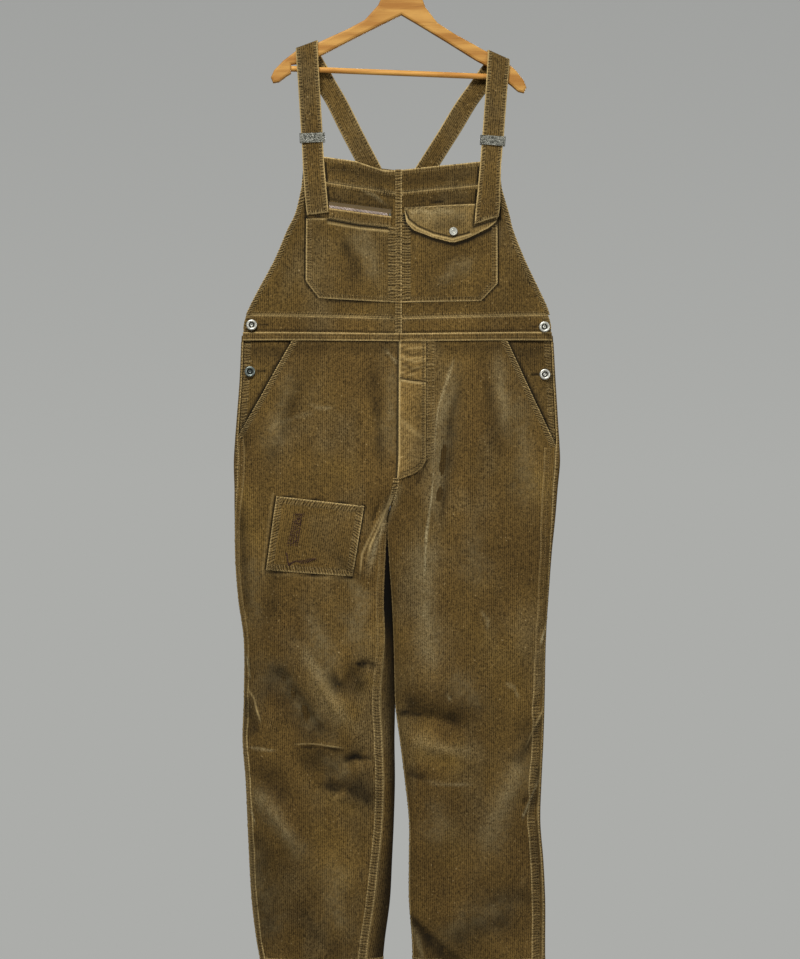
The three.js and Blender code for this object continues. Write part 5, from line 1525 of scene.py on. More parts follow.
def cloth(name, node, place, rows, material, *, lift=0.0, wall=CLOTH_WALL, facing=1, sewn=(),
          grain_x=None, columns_per_wale=4, columns=None, samples=241, outline=False, seed=1,
          roll=1.4, edge_wear=0.25, both_faces=False, face="front", shape=None,
          wale_relief=WALE_RELIEF, threads=None, sheet=True,
          under_columns=12):
    """A closed thin shell over a place, with wales as real ridges and its stitches."""
    form = lay_out(place, rows, facing, columns_per_wale, columns, grain_x, samples, outline)
    height, wear, dark, tick, walked = relief_of(form, sewn, wall, seed, roll, edge_wear, wale_relief)
    tones = tones_at(face, form.point[..., 0], form.point[..., 2])
    tones["wear"] = np.maximum(tones["wear"], np.clip(wear, 0, 1))
    tones["dark"] = np.clip(tones["dark"] + dark, 0, 1)
    if node:
        local_tones(node, tones, form.point[..., 0], form.point[..., 2])
    tones["tick"], tones["walk"] = tick, walked
    if shape:
        height = height + shape(form, tones)
    share_down = form.top / np.maximum(form.top + form.bottom, 1e-6)
    lifts = lift(share_down) if callable(lift) else np.full(form.at.shape, float(lift))
    outer = form.point + form.normal * (lifts + wall + height)[..., None]
    triangles, index, first, last = shell_faces(form)
    row_count = len(first)
    if both_faces:
        under_height, under_wear, under_dark, under_tick, under_walked = relief_of(
            form, sewn, wall, seed + 7, roll, edge_wear, wale_relief)
        inner = form.point + form.normal * (lifts - under_height)[..., None]
        offset = outer.shape[0] * outer.shape[1]
        under = triangles[:, ::-1] + offset
        inner_index = index + offset
        inner_first, inner_last = first, last
        inner_points = inner.reshape(-1, 3)
        inner_grain = form.grain
        tones_in = {"wear": np.clip(under_wear, 0, 1), "dark": np.clip(under_dark, 0, 1),
                    "tick": under_tick, "walk": under_walked}
    else:
        shares = np.linspace(0, 1, under_columns + 1)
        inner = np.empty((row_count, under_columns + 1, 3))
        inner_grain = np.empty((row_count, under_columns + 1))
        base = form.point + form.normal * lifts[..., None]
        for r in range(row_count):
            span = form.grain[r, first[r]: last[r] + 1]
            at = mix(span[0], span[-1], shares)
            inner_grain[r] = at
            for axis in range(3):
                inner[r, :, axis] = np.interp(at, span, base[r, first[r]: last[r] + 1, axis])
        offset = outer.shape[0] * outer.shape[1]
        inner_index = np.arange(row_count * (under_columns + 1)).reshape(row_count, -1) + offset
        inner_first = np.zeros(row_count, int)
        inner_last = np.full(row_count, under_columns)
        a = inner_index[:-1, :-1].ravel()
        b = inner_index[:-1, 1:].ravel()
        c = inner_index[1:, 1:].ravel()
        d = inner_index[1:, :-1].ravel()
        under = np.concatenate([np.stack([c, b, a], 1), np.stack([d, c, a], 1)])
        inner_points = inner.reshape(-1, 3)
        # The inner face gets painted shade at half strength.
        tones_in = {"dark": np.full(inner_grain.shape, 0.5)}
    r = np.arange(row_count)
    left = index[r, first]
    left_in = inner_index[r, inner_first]
    right = index[r, last]
    right_in = inner_index[r, inner_last]
    rims = [
        np.stack([left[:-1], left[1:], left_in[1:]], 1),
        np.stack([left[:-1], left_in[1:], left_in[:-1]], 1),
        np.stack([right[1:], right[:-1], right_in[:-1]], 1),
        np.stack([right[1:], right_in[:-1], right_in[1:]], 1),
    ]
    for row, turned in ((0, True), (row_count - 1, False)):
        over = index[row, first[row]: last[row] + 1]
        over_at = form.grain[row, first[row]: last[row] + 1]
        beneath = inner_index[row, inner_first[row]: inner_last[row] + 1]
        beneath_at = inner_grain[row, inner_first[row]: inner_last[row] + 1]
        faces = np.array(zip_rows(over, over_at, beneath, beneath_at))
        rims.append(faces[:, ::-1] if turned else faces)
    faces = np.concatenate([triangles, under] + rims)
    points = np.concatenate([outer.reshape(-1, 3), inner_points])
    uv = np.stack([
        np.concatenate([form.grain.ravel(), inner_grain.ravel()]),
        np.concatenate([form.fall.ravel(), inner_points[:, 2] * 0]),
    ], axis=1)
    plain = np.zeros(inner_grain.shape)
    values = {kind: np.concatenate([tones[kind].ravel(), tones_in.get(kind, plain).ravel()])
              for kind in tones}
    used = np.unique(faces)
    renumber = np.zeros(len(points), int)
    renumber[used] = np.arange(len(used))
    faces = renumber[faces]
    centre = points[used].mean(axis=0)
    corners = points[used][faces]
    volume = np.einsum("ij,ij->i", corners[:, 0] - centre,
                       np.cross(corners[:, 1] - centre, corners[:, 2] - centre)).sum()
    if volume < 0:
        faces = faces[:, ::-1]
    piece = make_piece(name, points[used], [faces], [material], uv[used],
                       {kind: tone[used] for kind, tone in values.items()})
    if node:
        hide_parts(node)
    if sheet:
        width, length = form.flat
        area = float(np.clip(form.area, 0.31 * width * length, width * length)) * METRE**2
    if threads:
        for edge in sewn:
            for line in edge.lines:
                sew_line(threads, place, facing, edge, line, lift, wall - GROOVE + THREAD_RISE)
                if both_faces:
                    sew_line(threads, place, -facing, edge, line, -lift, THREAD_RISE - GROOVE)
    return piece


def steps(length, step, ends=(0.0, 0.6, 1.6, 3.2)):
    """Shares of a length, about a step apart and closer together at both ends."""
    count = max(2, round((length - 2 * ends[-1]) / step))
    middle = np.linspace(ends[-1], length - ends[-1], count + 1)
    close = np.array(ends[:-1])
    return np.concatenate([close, middle, length - close[::-1]]) / length


LEG_LENGTH = WAIST_OUTER - WAIST_DROP - HEM
LEG_GRAIN = {"right": -132, "left": 124}
LEG_ROWS = steps(LEG_LENGTH, 4.7)
KNEE_CREASE = (WAIST_OUTER - WAIST_DROP - np.arange(-1306, -1323, -1.6)) / LEG_LENGTH
LEG_ROWS = np.sort(np.concatenate([LEG_ROWS, KNEE_CREASE]))
LEG_ROWS = LEG_ROWS[np.concatenate([[True], np.diff(LEG_ROWS) > 0.4 / LEG_LENGTH])]
LEG_ROWS_BEHIND = steps(LEG_LENGTH, 9.0)


RECESS_FRONT = 12
RECESS_HALF_WIDTH = 45
RECESS_CENTRE = -8
RECESS_FADE = 60
RECESS_OPENS = -1090
RECESS_OPENS_OVER = 180
RECESS_EDGE = 22


def inner_recess():
    """Paints shade on the back panel where it shows between the legs."""
    def shape(form, tones):
        in_front = form.point[..., 1] < RECESS_FRONT
        near_middle = np.abs(form.point[..., 0] - RECESS_CENTRE) < RECESS_HALF_WIDTH
        below_crotch = smooth((CROTCH + 10 - form.point[..., 2]) / RECESS_FADE)
        depth = below_crotch * (in_front & near_middle)
        open_share = smooth((RECESS_OPENS - form.point[..., 2]) / RECESS_OPENS_OVER)
        beyond = smooth(form.left / RECESS_EDGE)
        # Painted shade: full near the crotch, lighter lower down where the gap between the legs opens.
        tones["dark"] = np.maximum(tones["dark"], depth * mix(1, mix(0.1, 0.8, beyond), open_share))
        return np.zeros(depth.shape)
    return shape


def legs(side):
    sign = FACING[side]
    cloth(f"leg_front_{side}_cloth", f"leg_front_{side}", leg_front(side), LEG_ROWS, CLOTH["leg"],
          lift=-CLOTH_WALL, facing=sign, seed=11 + sign, grain_x=LEG_GRAIN[side],
          edge_wear={"right": 0.9}, columns_per_wale=3)
    cloth(f"leg_back_{side}_cloth", f"leg_back_{side}", leg_back(side), LEG_ROWS_BEHIND,
          CLOTH["behind"], lift=-CLOTH_WALL, facing=sign, seed=21 + sign, grain_x=LEG_GRAIN[side],
          face="back", columns_per_wale=3, samples=281, shape=inner_recess())
    cloth(f"hip_stay_{side}_cloth", f"hip_stay_{side}", hip_stay(side), steps(160, 3.0),
          CLOTH["hip"], lift=-STAY_DEPTH, facing=sign, seed=31 + sign, grain_x=LEG_GRAIN[side],
          sewn=[Sewn("left", [3.5, 10], 0.9, 0.7)], threads="stitching_hips")


def bib(side):
    sign = FACING[side]
    cloth(f"waistband_front_{side}_cloth", f"waistband_front_{side}", waistband_front(side),
          steps(36, 2.2), CLOTH["band"], lift=-1.0, wall=1.6, facing=sign, seed=41 + sign,
          sewn=[Sewn("top", [2.5], 0.15, 0.2), Sewn("left", [3, 9], 0.5, 0.6)],
          threads="stitching_waist", grain_x=-1, edge_wear={"top": 0.6, "bottom": 0.2, "left": 0.7})
    cloth(f"bib_{side}_cloth", f"bib_{side}", bib_panel(side), steps(228, 5.0), CLOTH["bib"],
          lift=-CLOTH_WALL, facing=sign, seed=51 + sign, grain_x=-1)
    cloth(f"bib_band_{side}_cloth", f"bib_band_{side}", bib_band(side), steps(36, 2.2),
          CLOTH["bib"], lift=-1.3, wall=1.6, facing=sign, seed=61 + sign, grain_x=-1,
          sewn=[Sewn("bottom", [2.0], 0.2, 0.3)],
          threads="stitching_bib", edge_wear={"bottom": 0.6, "left": 0.6})
    cloth(f"chest_pocket_{side}_cloth", f"chest_pocket_{side}", on_front(side, POCKET_ROWS[side]),
          steps(140, 2.4), CLOTH["bib"], lift=0.3, wall=1.5, facing=sign, seed=71 + sign,
          grain_x=-1, outline=True, edge_wear={"left": 1.0, "bottom": 1.0, "top": 0.5},
          sewn=[Sewn("left", [2.8, 7.6], 0.5, 0.55, reach=3.4),
                Sewn("bottom", [2.8, 7.6], 0.4, 0.45, reach=3.4),
                Sewn("right", [4, 13.5], 1.1, 0.75, reach=6)],
          threads="stitching_pocket")


def tab_lift(side):
    lifts = TAB_ROWS[side]["lift"]
    return lambda share: np.interp(share, np.linspace(0, 1, len(lifts)), lifts)


def shoulder(side):
    cloth(f"strap_tab_{side}_cloth", f"strap_tab_{side}", strap_tab(side), steps(128, 2.4),
          CLOTH["strap"], lift=tab_lift(side), wall=STRAP_WALL, facing=-FACING[side],
          seed=81 + FACING[side], outline=True, roll=1.8, edge_wear=1.0,
          sewn=[Sewn("left", [4.6], 1.0, 0.75, reach=4), Sewn("right", [4.6], 1.0, 0.75, reach=4),
                Sewn("top", [4.0], 0.8, 0.7, reach=4), Sewn("top", [30], 0.15, 0.2, reach=2)],
          threads="stitching_straps")
    cloth(f"shoulder_strap_{side}_cloth", f"shoulder_strap_{side}", long_strap(side),
          steps(560, 2.6), CLOTH["strap"], lift=-STRAP_WALL / 2, wall=STRAP_WALL, facing=-1,
          seed=91 + FACING[side], roll=1.8, edge_wear=0.9, columns_per_wale=3,
          both_faces=True, samples=61, wale_relief=0.2,
          sewn=[Sewn("left", [4.6], 1.0, 0.75, reach=4), Sewn("right", [4.6], 1.0, 0.75, reach=4)],
          threads="stitching_straps")


for side in SIDES:
    legs(side)
    bib(side)
    shoulder(side)

cloth("waistband_back_cloth", "waistband_back", waistband_back, steps(36, 2.6), CLOTH["band"],
      lift=-1.0, wall=1.6, facing=-1, seed=101, face="back", columns_per_wale=3, samples=481,
      sewn=[Sewn("top", [2.5, 6], 0.25, 0.35), Sewn("bottom", [3, 7], 0.25, 0.35)],
      threads="stitching_behind")
cloth("back_yoke_cloth", "back_yoke", back_yoke, steps(105, 4.0), CLOTH["bib"],
      lift=-CLOTH_WALL, facing=-1, seed=102, face="back", columns_per_wale=3, samples=481,
      sewn=[Sewn("top", [4], 0.4, 0.5), Sewn("left", [4], 0.4, 0.5), Sewn("right", [4], 0.4, 0.5)],
      outline=True, threads="stitching_behind")


def fly_ripples(form, tones):
    """Uneven ripples across the fly, strongest above its fold, with painted shade in their hollows and
    paler crests.
    """
    x, z = form.point[..., 0], form.point[..., 2]
    broad = 2 * math.pi * (z + 0.25 * x) / 13 + 2.2 * np.sin(z / 14 + 1) + 1.3 * np.sin(x / 8)
    narrow = 2 * math.pi * (z - 0.2 * x) / 8.3 + 1.5 * np.sin(x / 11 + z / 30)
    ripple = 0.65 * np.sin(broad) + 0.5 * np.sin(narrow)
    amount = 0.22 + 0.6 * smooth((z + 724) / 16) * (1 - 0.5 * smooth((z + 668) / 16))
    tones["dark"] = np.maximum(tones["dark"], 0.6 * amount * np.clip(-ripple, 0, 1) ** 1.4)
    tones["wear"] = np.maximum(tones["wear"], 0.3 * amount * np.clip(ripple, 0, 1) ** 3)
    return 0.9 * amount * ripple


cloth("fly_placket_cloth", "fly_placket", on_front("left", FLY_ROWS), steps(230, 2.2),
      CLOTH["fly"], lift=0.8, wall=1.2, facing=-1, seed=103, outline=True, grain_x=124,
      edge_wear={"right": 0.9, "left": 0.3, "bottom": 0.5},
      sewn=[Sewn("left", [4.6], 0.3, 0.4)], threads="stitching_fly", shape=fly_ripples)
cloth("thigh_patch_cloth", "thigh_patch", on_front("right", PATCH_ROWS), steps(120, 2.0),
      CLOTH["patch"], lift=0.5, wall=1.2, facing=1, seed=104, outline=True, edge_wear=0.85,
      sewn=[Sewn(edge, [3.0, 8.6], 0.9, 0.8, reach=4, slant=0.5) for edge in EDGES],
      threads="stitching_patch")
cloth("pocket_flap_cloth", "pocket_flap", on_front("left", FLAP_ROWS), steps(65, 1.7),
      CLOTH["flap"], lift=2.2, wall=1.8, facing=-1, seed=105, grain_x=-1, outline=True,
      edge_wear=1.0, roll=2.0,
      sewn=[Sewn("top", [2.6], 0.9, 0.5, reach=3.5)],
      threads="stitching_flap")
cloth("pocket_zip_welt_cloth", "pocket_zip_welt", on_front("right", WELT_ROWS), steps(17, 1.6),
      CLOTH["band"], lift=0.3, wall=2.2, facing=1, seed=106, grain_x=-1, roll=2.4,
      edge_wear={"top": 0.8, "bottom": 0.5}, sewn=[Sewn("bottom", [3.4], 0.2, 0.3)],
      threads="stitching_pocket")
cloth("pocket_zip_tape_weave", "pocket_zip_tape", on_front("right", TAPE_ROWS), steps(11, 1.4),
      woven_tape("zip_tape_weave"), lift=0.3, wall=1.0, facing=1, seed=107, wale_relief=0)


# Seams: a raised, puckered band of the cloth along each one
def seam(name, place, rows, facing, lines, height=0.8, wear=0.7, edge="right", *, seed=1, lift=-0.6,
         wall=1.3, material="seam", worn=0.4, threads="stitching_seams", face="front", slant=0.0, roll=2.0,
         shape=None):
    cloth(name, None, place, rows, CLOTH[material], lift=lift, wall=wall, facing=facing, seed=seed,
          roll=roll, edge_wear=worn, face=face, sheet=False, under_columns=4, wale_relief=0.18, shape=shape,
          sewn=[Sewn(edge, lines, height, wear, slant=slant, reach=6)], threads=threads, samples=61)


def share_of_leg(z):
    return (WAIST_OUTER - WAIST_DROP - z) / LEG_LENGTH


def stronger_below(top, bottom):
    """Ticks, wear and painted shade that are faint above one height and full below another."""
    def shape(form, tones):
        share = 0.3 + 0.7 * smooth((top - form.point[..., 2]) / (top - bottom))
        tones["tick"] = tones["tick"] * share
        tones["wear"] = tones["wear"] * share
        tones["dark"] = tones["dark"] * share
        return np.zeros(share.shape)
    return shape


def waist_join(side):
    """The band where the trousers are sewn to the waistband."""
    def place(v, u):
        inset = size_at(SEAMS, side + "Outer", WAIST_OUTER)
        turn = mix(turn_at_inset(side, WAIST_OUTER + 0 * v, inset), 1, u)
        across = (1 - np.cos(np.pi * turn)) / 2
        return ring_point(side, turn, mix(-636, -650, v) - mix(3.5, 2.5, v) * across)
    return place


SLANT_END = {"right": -812, "left": -826}
SIDE_BAND = {"right": 12, "left": 21}
SIDE_LINES = {"right": [2.4, 8.5], "left": [11.5, 18.5]}
SIDE_TICKS = {"right": 0.3, "left": 0.5}
INSIDE_BAND = {"right": 14, "left": 8}
INSIDE_LINES = {"right": [3.0, 10.5], "left": [3.2]}
INSIDE_TICKS = {"right": 0.6, "left": 0.35}
FLY_END = -876
for side in SIDES:
    sign = FACING[side]
    front, back = leg_front(side), leg_back(side)
    end = SLANT_END[side]
    seam(f"pocket_mouth_{side}", edge_band(front, "left", 11, 0.002, share_of_leg(end)),
         steps(182, 1.9), sign,
         [3.4, 10.5], 0.9, 1.0, "left", seed=201 + sign,
         worn={"left": 1.0, "right": 0}, slant=0.5, material="leg")
    seam(f"side_seam_{side}", edge_band(front, "left", SIDE_BAND[side], share_of_leg(end), 1),
         steps(865, 2.6), sign, SIDE_LINES[side], 0.5, SIDE_TICKS[side], "left", seed=215 + sign,
         worn={"left": 0.7, "right": 0.9}, material="leg", shape=stronger_below(-1120, -1290))
    seam(f"side_seam_behind_{side}", edge_band(back, "right", 9, 0.01, 1), steps(1030, 2.6), sign,
         [2.4], 0.6, 0.6, "right", seed=221 + sign,
         worn={"left": 0, "right": 0.7}, face="back", material="leg")
    seam(f"inside_seam_{side}", edge_band(front, "right", INSIDE_BAND[side], share_of_leg(-950), 1),
         steps(740, 2.5), sign, INSIDE_LINES[side], 0.7, INSIDE_TICKS[side], "right", seed=235 + sign,
         worn={"left": 0.7, "right": 1.0}, material="leg", shape=stronger_below(-1170, -1290))
    seam(f"hem_{side}", edge_band(front, "bottom", 27), steps(27, 2.2), sign,
         [25.4], 0.7, 0.5, "bottom", seed=241 + sign,
         worn={"bottom": 0.9, "top": 0.6}, material="leg")
    seam(f"hem_behind_{side}", edge_band(back, "bottom", 27), steps(27, 2.2), sign,
         [25.4], 0.7, 0.6, "bottom", seed=251 + sign,
         worn={"bottom": 0.9, "top": 0.3}, face="back", material="leg")
    seam(f"bib_side_hem_{side}", edge_band(bib_panel(side), "left", 9.5, 0, 1),
         steps(240, 1.9), sign,
         [3.0, 7.6], 1.0, 1.0, "left", seed=261 + sign,
         worn={"left": 1.0, "right": 0}, slant=0.6, material="bib")
    seam(f"bib_top_hem_{side}", edge_band(bib_band(side), "top", 9), steps(9, 1.0), sign,
         [2.6, 6.6], 0.4, 0.3, "top", seed=271 + sign,
         worn={"top": 1.0, "bottom": 0}, material="bib")
    seam(f"waist_seam_{side}", waist_join(side), steps(15, 1.2), sign,
         [3.6, 8.4], 0.3, 0.18, "bottom", seed=281 + sign, lift=0.9,
         worn={"top": 0.7, "bottom": 0.75},
         threads=None, material="seam")
    seam(f"waist_top_seam_{side}", edge_band(bib_panel(side), "bottom", 7), steps(7, 1.0), sign,
         [3.0], 0.25, 0.3, "bottom", seed=291 + sign, worn={"top": 0, "bottom": 0.6},
         threads="stitching_waist", material="bib")
    seam(f"bib_band_seam_{side}", edge_band(bib_panel(side), "top", 7), steps(7, 1.0), sign,
         [2.6], 0.25, 0.3, "top", seed=301 + sign, worn={"top": 0.5, "bottom": 0}, material="bib")
seam("bib_middle_seam", middle_band(False, -369, -641, -6.6, 4.0), steps(272, 1.7), 1,
     [2.0, 7.8], 1.0, 0.7, "right", seed=311, lift=0.9, worn={"right": 0.9, "left": 0.3}, material="bib")
seam("fly_facing", middle_band(False, -647, -880, -9, 9), steps(233, 4.0), 1,
     [3.0], 0.1, 0.1, "left", seed=312, lift=-3.4, worn=0, threads=None, material="hip")
seam("front_rise_seam", middle_band(False, FLY_END, -922, -6.5, 3.5), steps(46, 1.7), 1,
     [2.2, 7.4], 1.0, 0.9, "right", seed=313, worn={"right": 0.9, "left": 0.3})
seam("back_rise_seam", middle_band(True, -648, -900, -6, 5), steps(252, 2.2), -1,
     [2.4, 8.2], 0.8, 0.7, "right", seed=314, worn=0.5, face="back")
seam("fly_stitched_band", on_front("left", [[(58, -649), (43.6, -649)], [(58, -768), (43.6, -768)],
     [(57, -846), (43.6, -846)]]), steps(198, 1.9), -1,
     [2.0, 13.2], 0.7, 0.55, "right", seed=315, lift=-0.9, worn={"right": 0.5, "left": 0}, material="leg")


# Threads
def stitch_mesh(name, lines, material, pitch=STITCH, radius=THREAD, share=0.72):
    """Every stitch of the lines as one small eight-sided spindle."""
    middles, tangents, normals = [], [], []
    for points, outwards in lines:
        walked = np.concatenate([[0], np.cumsum(np.linalg.norm(np.diff(points, axis=0), axis=1))])
        count = int(walked[-1] / pitch)
        if count < 1:
            continue
        at = (np.arange(count) + 0.5) * walked[-1] / count
        place = np.stack([np.interp(at, walked, points[:, k]) for k in range(3)], axis=1)
        ahead = np.stack([np.interp(at + 0.5, walked, points[:, k]) for k in range(3)], axis=1)
        behind = np.stack([np.interp(at - 0.5, walked, points[:, k]) for k in range(3)], axis=1)
        middles.append(place)
        tangents.append(ahead - behind)
        normals.append(np.stack([np.interp(at, walked, outwards[:, k]) for k in range(3)], axis=1))
    middle = np.concatenate(middles)
    tangent = np.concatenate(tangents)
    tangent /= np.maximum(np.linalg.norm(tangent, axis=1, keepdims=True), 1e-9)
    normal = np.concatenate(normals)
    side = np.cross(tangent, normal)
    half = tangent * pitch * share / 2
    corners = np.stack([
        middle - half - normal * radius * 0.8,
        middle + side * radius,
        middle + normal * radius,
        middle - side * radius,
        middle - normal * radius,
        middle + half - normal * radius * 0.8,
    ], axis=1)
    spindle = np.array([[0, 2, 1], [0, 3, 2], [0, 4, 3], [0, 1, 4],
                        [5, 1, 2], [5, 2, 3], [5, 3, 4], [5, 4, 1]])
    faces = (spindle[None] + 6 * np.arange(len(middle))[:, None, None]).reshape(-1, 3)
    piece = make_piece(name, corners.reshape(-1, 3), [faces], [material])
    return piece


for name, lines in THREADS.items():
    stitch_mesh(name, lines, TAN_THREAD)


# Hanger
for name, material in (("hanger_body", beech("beech_wood", 0.78)), ("hanger_bar", beech("beech_rod")),
                       ("hanger_hook", wire("hook_wire"))):
    nodes[name].data.materials.clear()
    nodes[name].data.materials.append(material)

# Metal trims
SILVER = old_silver("old_silver", linear(178, 178, 168), linear(40, 42, 38), 0.47)
for side in SIDES:
    slide = nodes[f"strap_slide_{side}"]
    slide.data.materials.clear()
    slide.data.materials.append(SILVER)

# Radius and height of the turned faces, from the middle outwards
RING_BUTTON = [
    (0, 1.1), (1.1, 1.1), (1.4, 2.0), (2.3, 2.2), (2.8, 1.4), (3.1, 0.2), (4.3, 0.1), (4.6, 1.2),
    (5.2, 2.2), (6.2, 2.8), (7.4, 2.9), (8.3, 2.4), (8.9, 1.5), (9.0, 0.5), (8.5, -1.2), (0, -1.2),
]
SNAP = [
    (0, 1.2), (1.8, 1.2), (2.1, 1.7), (2.8, 1.8), (3.2, 1.2), (4.6, 1.3), (5.0, 1.8), (5.8, 1.9),
    (6.5, 1.5), (6.9, 0.8), (6.7, -0.6), (0, -0.6),
]
TURNED_SIDES = 48


def profile_height(profile):
    return max(h for r, h in profile)


def turned(node, profile, material):
    """A round trim in place of a CAD node, facing the front."""
    low, high = (np.array(corner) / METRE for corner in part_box(node))
    centre = (low + high) / 2
    around = np.arange(TURNED_SIDES) * 2 * math.pi / TURNED_SIDES
    inner = profile[1:-1]
    rings = [np.stack([centre[0] + r * np.cos(around), np.full(TURNED_SIDES, low[1] + 1.0 - h),
                       centre[2] + r * np.sin(around)], axis=1) for r, h in inner]
    points = np.concatenate(rings + [[[centre[0], low[1] + 1.0 - profile[0][1], centre[2]]],
                                     [[centre[0], low[1] + 1.0 - profile[-1][1], centre[2]]]])
    k = np.arange(TURNED_SIDES)
    after = (k + 1) % TURNED_SIDES
    quads = [np.stack([a * TURNED_SIDES + k, a * TURNED_SIDES + after,
                       (a + 1) * TURNED_SIDES + after, (a + 1) * TURNED_SIDES + k], axis=1)
             for a in range(len(inner) - 1)]
    front = len(points) - 2
    last = (len(inner) - 1) * TURNED_SIDES
    caps = np.concatenate([np.stack([np.full(TURNED_SIDES, front), after, k], axis=1),
                           np.stack([np.full(TURNED_SIDES, front + 1), last + k, last + after], axis=1)])
    lowness = np.array([1 - min(1, max(0, h) / profile_height(profile)) for r, h in inner])
    dark = np.concatenate([np.repeat(lowness, TURNED_SIDES), [0.5, 0.5]])
    piece = make_piece(node + "_turned", points, [np.concatenate(quads)[:, ::-1], caps[:, ::-1]],
                       [material], tones={"dark": dark ** 1.5}, smooth_angle=35)
    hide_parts(node)


BRIGHT_BUTTON = cast_silver("button_silver", linear(206, 206, 198), linear(34, 32, 27))
DARK_BUTTON = cast_silver("dark_button_silver", linear(118, 126, 122), linear(26, 30, 29))
for name in ("side_button_upper_right", "side_button_upper_left", "side_button_lower_left"):
    turned(name, RING_BUTTON, BRIGHT_BUTTON)
turned("side_button_lower_right", RING_BUTTON, DARK_BUTTON)
turned("flap_snap", SNAP, BRIGHT_BUTTON)


def on_cloth(side, x, z, lift):
    """Points over the front, and the directions away from it."""
    x, z = np.asarray(x, float), np.asarray(z, float)
    point = front_point(side, x, z)
    across = front_point(side, x + 0.5, z) - front_point(side, x - 0.5, z)
    upright = front_point(side, x, z + 0.5) - front_point(side, x, z - 0.5)
    normal = np.cross(across, upright)
    normal /= np.linalg.norm(normal, axis=1, keepdims=True)
    normal *= -np.sign(normal[:, 1:2])
    return point + normal * lift, normal


# Zip: two rows of teeth on the tape, with its end stop
TEETH_START = (-115.5, -430.6)
TEETH_END = (-19, -443.6)
TOOTH_PITCH = 2.2
TOOTH = (0.72, 1.45, 0.8)
TEETH_LIFT = 1.9
STOP = (1.6, 2.6, 0.9)


def small_blocks(name, centres, along, size, material):
    """Blocks with a narrower front face, on the cloth."""
    middle, out = centres
    along = along / np.linalg.norm(along)
    up = np.cross(out, along)
    a, b, c = size
    corners = []
    for depth, share in ((-c, 1.0), (c, 0.62)):
        for i, j in ((-1, -1), (1, -1), (1, 1), (-1, 1)):
            corners.append(middle + along * i * a * share + up * j * b * share + out * depth)
    points = np.stack(corners, axis=1).reshape(-1, 3)
    box = np.array([[0, 3, 2, 1], [4, 5, 6, 7], [0, 1, 5, 4], [1, 2, 6, 5], [2, 3, 7, 6], [3, 0, 4, 7]])
    faces = (box[None] + 8 * np.arange(len(middle))[:, None, None]).reshape(-1, 4)
    piece = make_piece(name, points, [faces], [material], smooth_angle=30)


zip_length = math.dist(TEETH_START, TEETH_END)
zip_along = np.array([TEETH_END[0] - TEETH_START[0], 0, TEETH_END[1] - TEETH_START[1]])
ZIP_METAL = cast_silver("zip_metal", linear(226, 210, 204), linear(152, 122, 112))
for row, shift in ((1.0, 0.0), (-1.0, 0.5)):
    share = (np.arange(int(zip_length / TOOTH_PITCH)) + shift) * TOOTH_PITCH / zip_length
    x = mix(TEETH_START[0], TEETH_END[0], share)
    z = mix(TEETH_START[1], TEETH_END[1], share) + row
    small_blocks(f"zip_teeth_{'upper' if row > 0 else 'lower'}",
                 on_cloth("right", x, z, TEETH_LIFT), zip_along, TOOTH, ZIP_METAL)
stop_place = on_cloth("right", [TEETH_END[0] + 2.5], [TEETH_END[1] - 0.4], TEETH_LIFT)
small_blocks("zip_stop", stop_place, zip_along, STOP,
             DARK_BUTTON)

# Darning on the patch, and the stitched rectangle on the bib's band
DARN_ROWS = 11
DARN_TOP = (-164, -937)
DARN_STEP = (-1.0, -4.6)
DARN_WIDTH = 15
darning = []
for row in range(DARN_ROWS):
    share = np.linspace(0, 1, 14)
    sway = 1.3 * np.sin(share * 7 + row * 2.1)
    x = DARN_TOP[0] + DARN_STEP[0] * row - DARN_WIDTH / 2 + DARN_WIDTH * share + 1.5 * math.sin(row * 1.7)
    z = DARN_TOP[1] + DARN_STEP[1] * row + sway + 2.4 * share
    darning.append(on_cloth("right", x, z, 2.7))
for row in range(5):
    x = DARN_TOP[0] - 9 + row * 3.4 + 1.2 * np.sin(np.linspace(0, 5, 20) + row)
    z = np.linspace(DARN_TOP[1] + 3, DARN_TOP[1] + DARN_STEP[1] * DARN_ROWS, 20)
    darning.append(on_cloth("right", x + np.linspace(0, -9, 20), z, 2.3))
loose_x = [-186, -184.5, -183, -172, -160, -148, -138]
loose_z = [-998, -1008, -1016, -1011, -1013, -1008, -1006]
for number in range(3):
    wave = 1.6 * np.sin(np.arange(7) * 1.9 + number)
    thread_x = np.array(loose_x) + number * 0.8
    thread_z = np.array(loose_z) + wave - number * 1.2
    darning.append(on_cloth("right", thread_x, thread_z, 2.6))
stitch_mesh("darning", darning, DARN_THREAD, pitch=2.8, radius=0.8, share=1.0)

LABEL_SHAPE = [(-119, -369), (-69, -370), (-69, -388), (-119, -386)]
label = []
for (x1, z1), (x2, z2) in zip(LABEL_SHAPE, LABEL_SHAPE[1:]):
    share = np.linspace(0, 1, 30)
    label.append(on_cloth("right", mix(x1, x2, share), mix(z1, z2, share), 0.5))
stitch_mesh("stitched_rectangle", label, TAN_THREAD)

# Camera: the photograph's frame at 1.65 mm a pixel, 3.5 m away
scene = bpy.context.scene
MM_PER_PIXEL = 1.65
PICTURE_HEIGHT = 959
PIXELS_ABOVE_ORIGIN = -53
VIEW_DISTANCE = 3500
SENSOR = 36
half_height = PICTURE_HEIGHT * MM_PER_PIXEL / 2
camera = bpy.data.cameras.new("camera")
camera.sensor_width = SENSOR
camera.lens = SENSOR / 2 * VIEW_DISTANCE / half_height
camera_object = bpy.data.objects.new("camera", camera)
camera_height = PIXELS_ABOVE_ORIGIN * MM_PER_PIXEL - half_height
camera_object.location = Vector((0, -VIEW_DISTANCE, camera_height)) * METRE
camera_object.rotation_euler = (math.pi / 2, 0, 0)
scene.collection.objects.link(camera_object)
scene.camera = camera_object

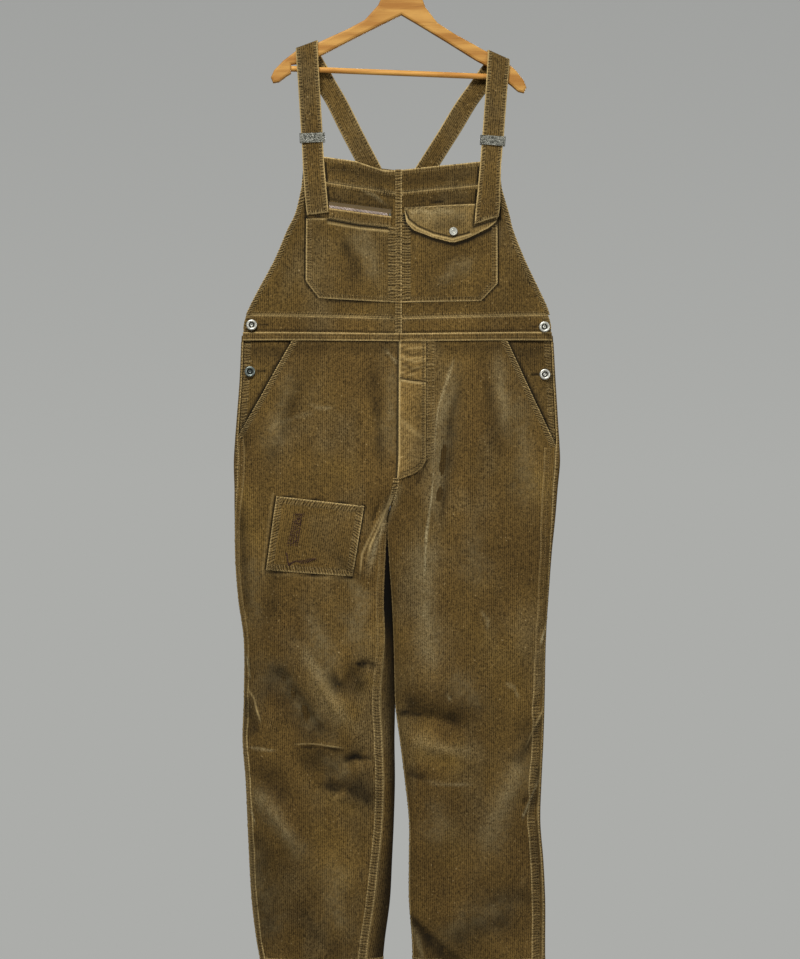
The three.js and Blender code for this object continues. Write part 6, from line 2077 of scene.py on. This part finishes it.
# World: a plain grey studio, a little lighter at mid height
world = bpy.data.worlds.new("studio")
world.use_nodes = True
tree = world.node_tree
background = tree.nodes["Background"]
coords = tree.nodes.new("ShaderNodeTexCoord")
split = tree.nodes.new("ShaderNodeSeparateXYZ")
ramp = tree.nodes.new("ShaderNodeValToRGB")
tree.links.new(coords.outputs["Generated"], split.inputs[0])
tree.links.new(split.outputs["Z"], ramp.inputs[0])
tree.links.new(ramp.outputs[0], background.inputs[0])
ramp.color_ramp.elements[0].position = 0.0
ramp.color_ramp.elements[0].color = linear(172, 173, 170)
ramp.color_ramp.elements[1].position = 0.24
ramp.color_ramp.elements[1].color = linear(160, 161, 159)
background.inputs["Strength"].default_value = 1.0
room = tree.nodes.new("ShaderNodeBackground")
room.inputs["Color"].default_value = linear(168, 169, 166)
room.inputs["Strength"].default_value = 0.5
rays = tree.nodes.new("ShaderNodeLightPath")
choice = tree.nodes.new("ShaderNodeMixShader")
tree.links.new(rays.outputs["Is Camera Ray"], choice.inputs[0])
tree.links.new(room.outputs[0], choice.inputs[1])
tree.links.new(background.outputs[0], choice.inputs[2])
tree.links.new(choice.outputs[0], tree.nodes["World Output"].inputs[0])
scene.world = world
scene.view_settings.view_transform = "Standard"


def soft_light(name, place, aim, size, watts, colour=(1, 1, 1)):
    lamp = bpy.data.lights.new(name, "AREA")
    lamp.shape = "RECTANGLE"
    lamp.size, lamp.size_y = size
    lamp.energy = watts
    lamp.color = colour
    obj = bpy.data.objects.new(name, lamp)
    obj.location = place
    direction = Vector(aim) - Vector(place)
    obj.rotation_mode = "QUATERNION"
    obj.rotation_quaternion = direction.to_track_quat("-Z", "Y")
    scene.collection.objects.link(obj)


MIDDLE = (0, 0, -0.95)
soft_light("key", (-0.9, -2.8, 2.3), MIDDLE, (1.5, 1.1), 202, (1.0, 0.98, 0.915))
soft_light("fill", (2.4, -2.8, -0.9), MIDDLE, (1.4, 2.0), 42, (1.0, 0.985, 0.96))
soft_light("back", (0.6, 2.6, 0.4), MIDDLE, (1.6, 1.6), 60, (1.0, 0.985, 0.95))

# Floor: a pale disc under the garment, below the photograph's frame
FLOOR_RADIUS = 0.68
FLOOR_Z = -1.86
FLOOR_SIDES = 96
angles = np.linspace(0, 2 * math.pi, FLOOR_SIDES, endpoint=False)
level = angles * 0 + FLOOR_Z
rim = np.stack([np.cos(angles) * FLOOR_RADIUS, np.sin(angles) * FLOOR_RADIUS, level], axis=1)
floor_mesh = bpy.data.meshes.new("floor")
floor_mesh.from_pydata([tuple(point) for point in rim], [], [tuple(range(FLOOR_SIDES))])
floor = bpy.data.objects.new("floor", floor_mesh)
scene.collection.objects.link(floor)
floor_nodes = Nodes("pale_floor")
floor_mesh.materials.append(floor_nodes.finish(
    Base_Color=floor_nodes.blend(floor_nodes.noise(3, 2), linear(196, 195, 190), linear(184, 183, 178)),
    Roughness=0.8))
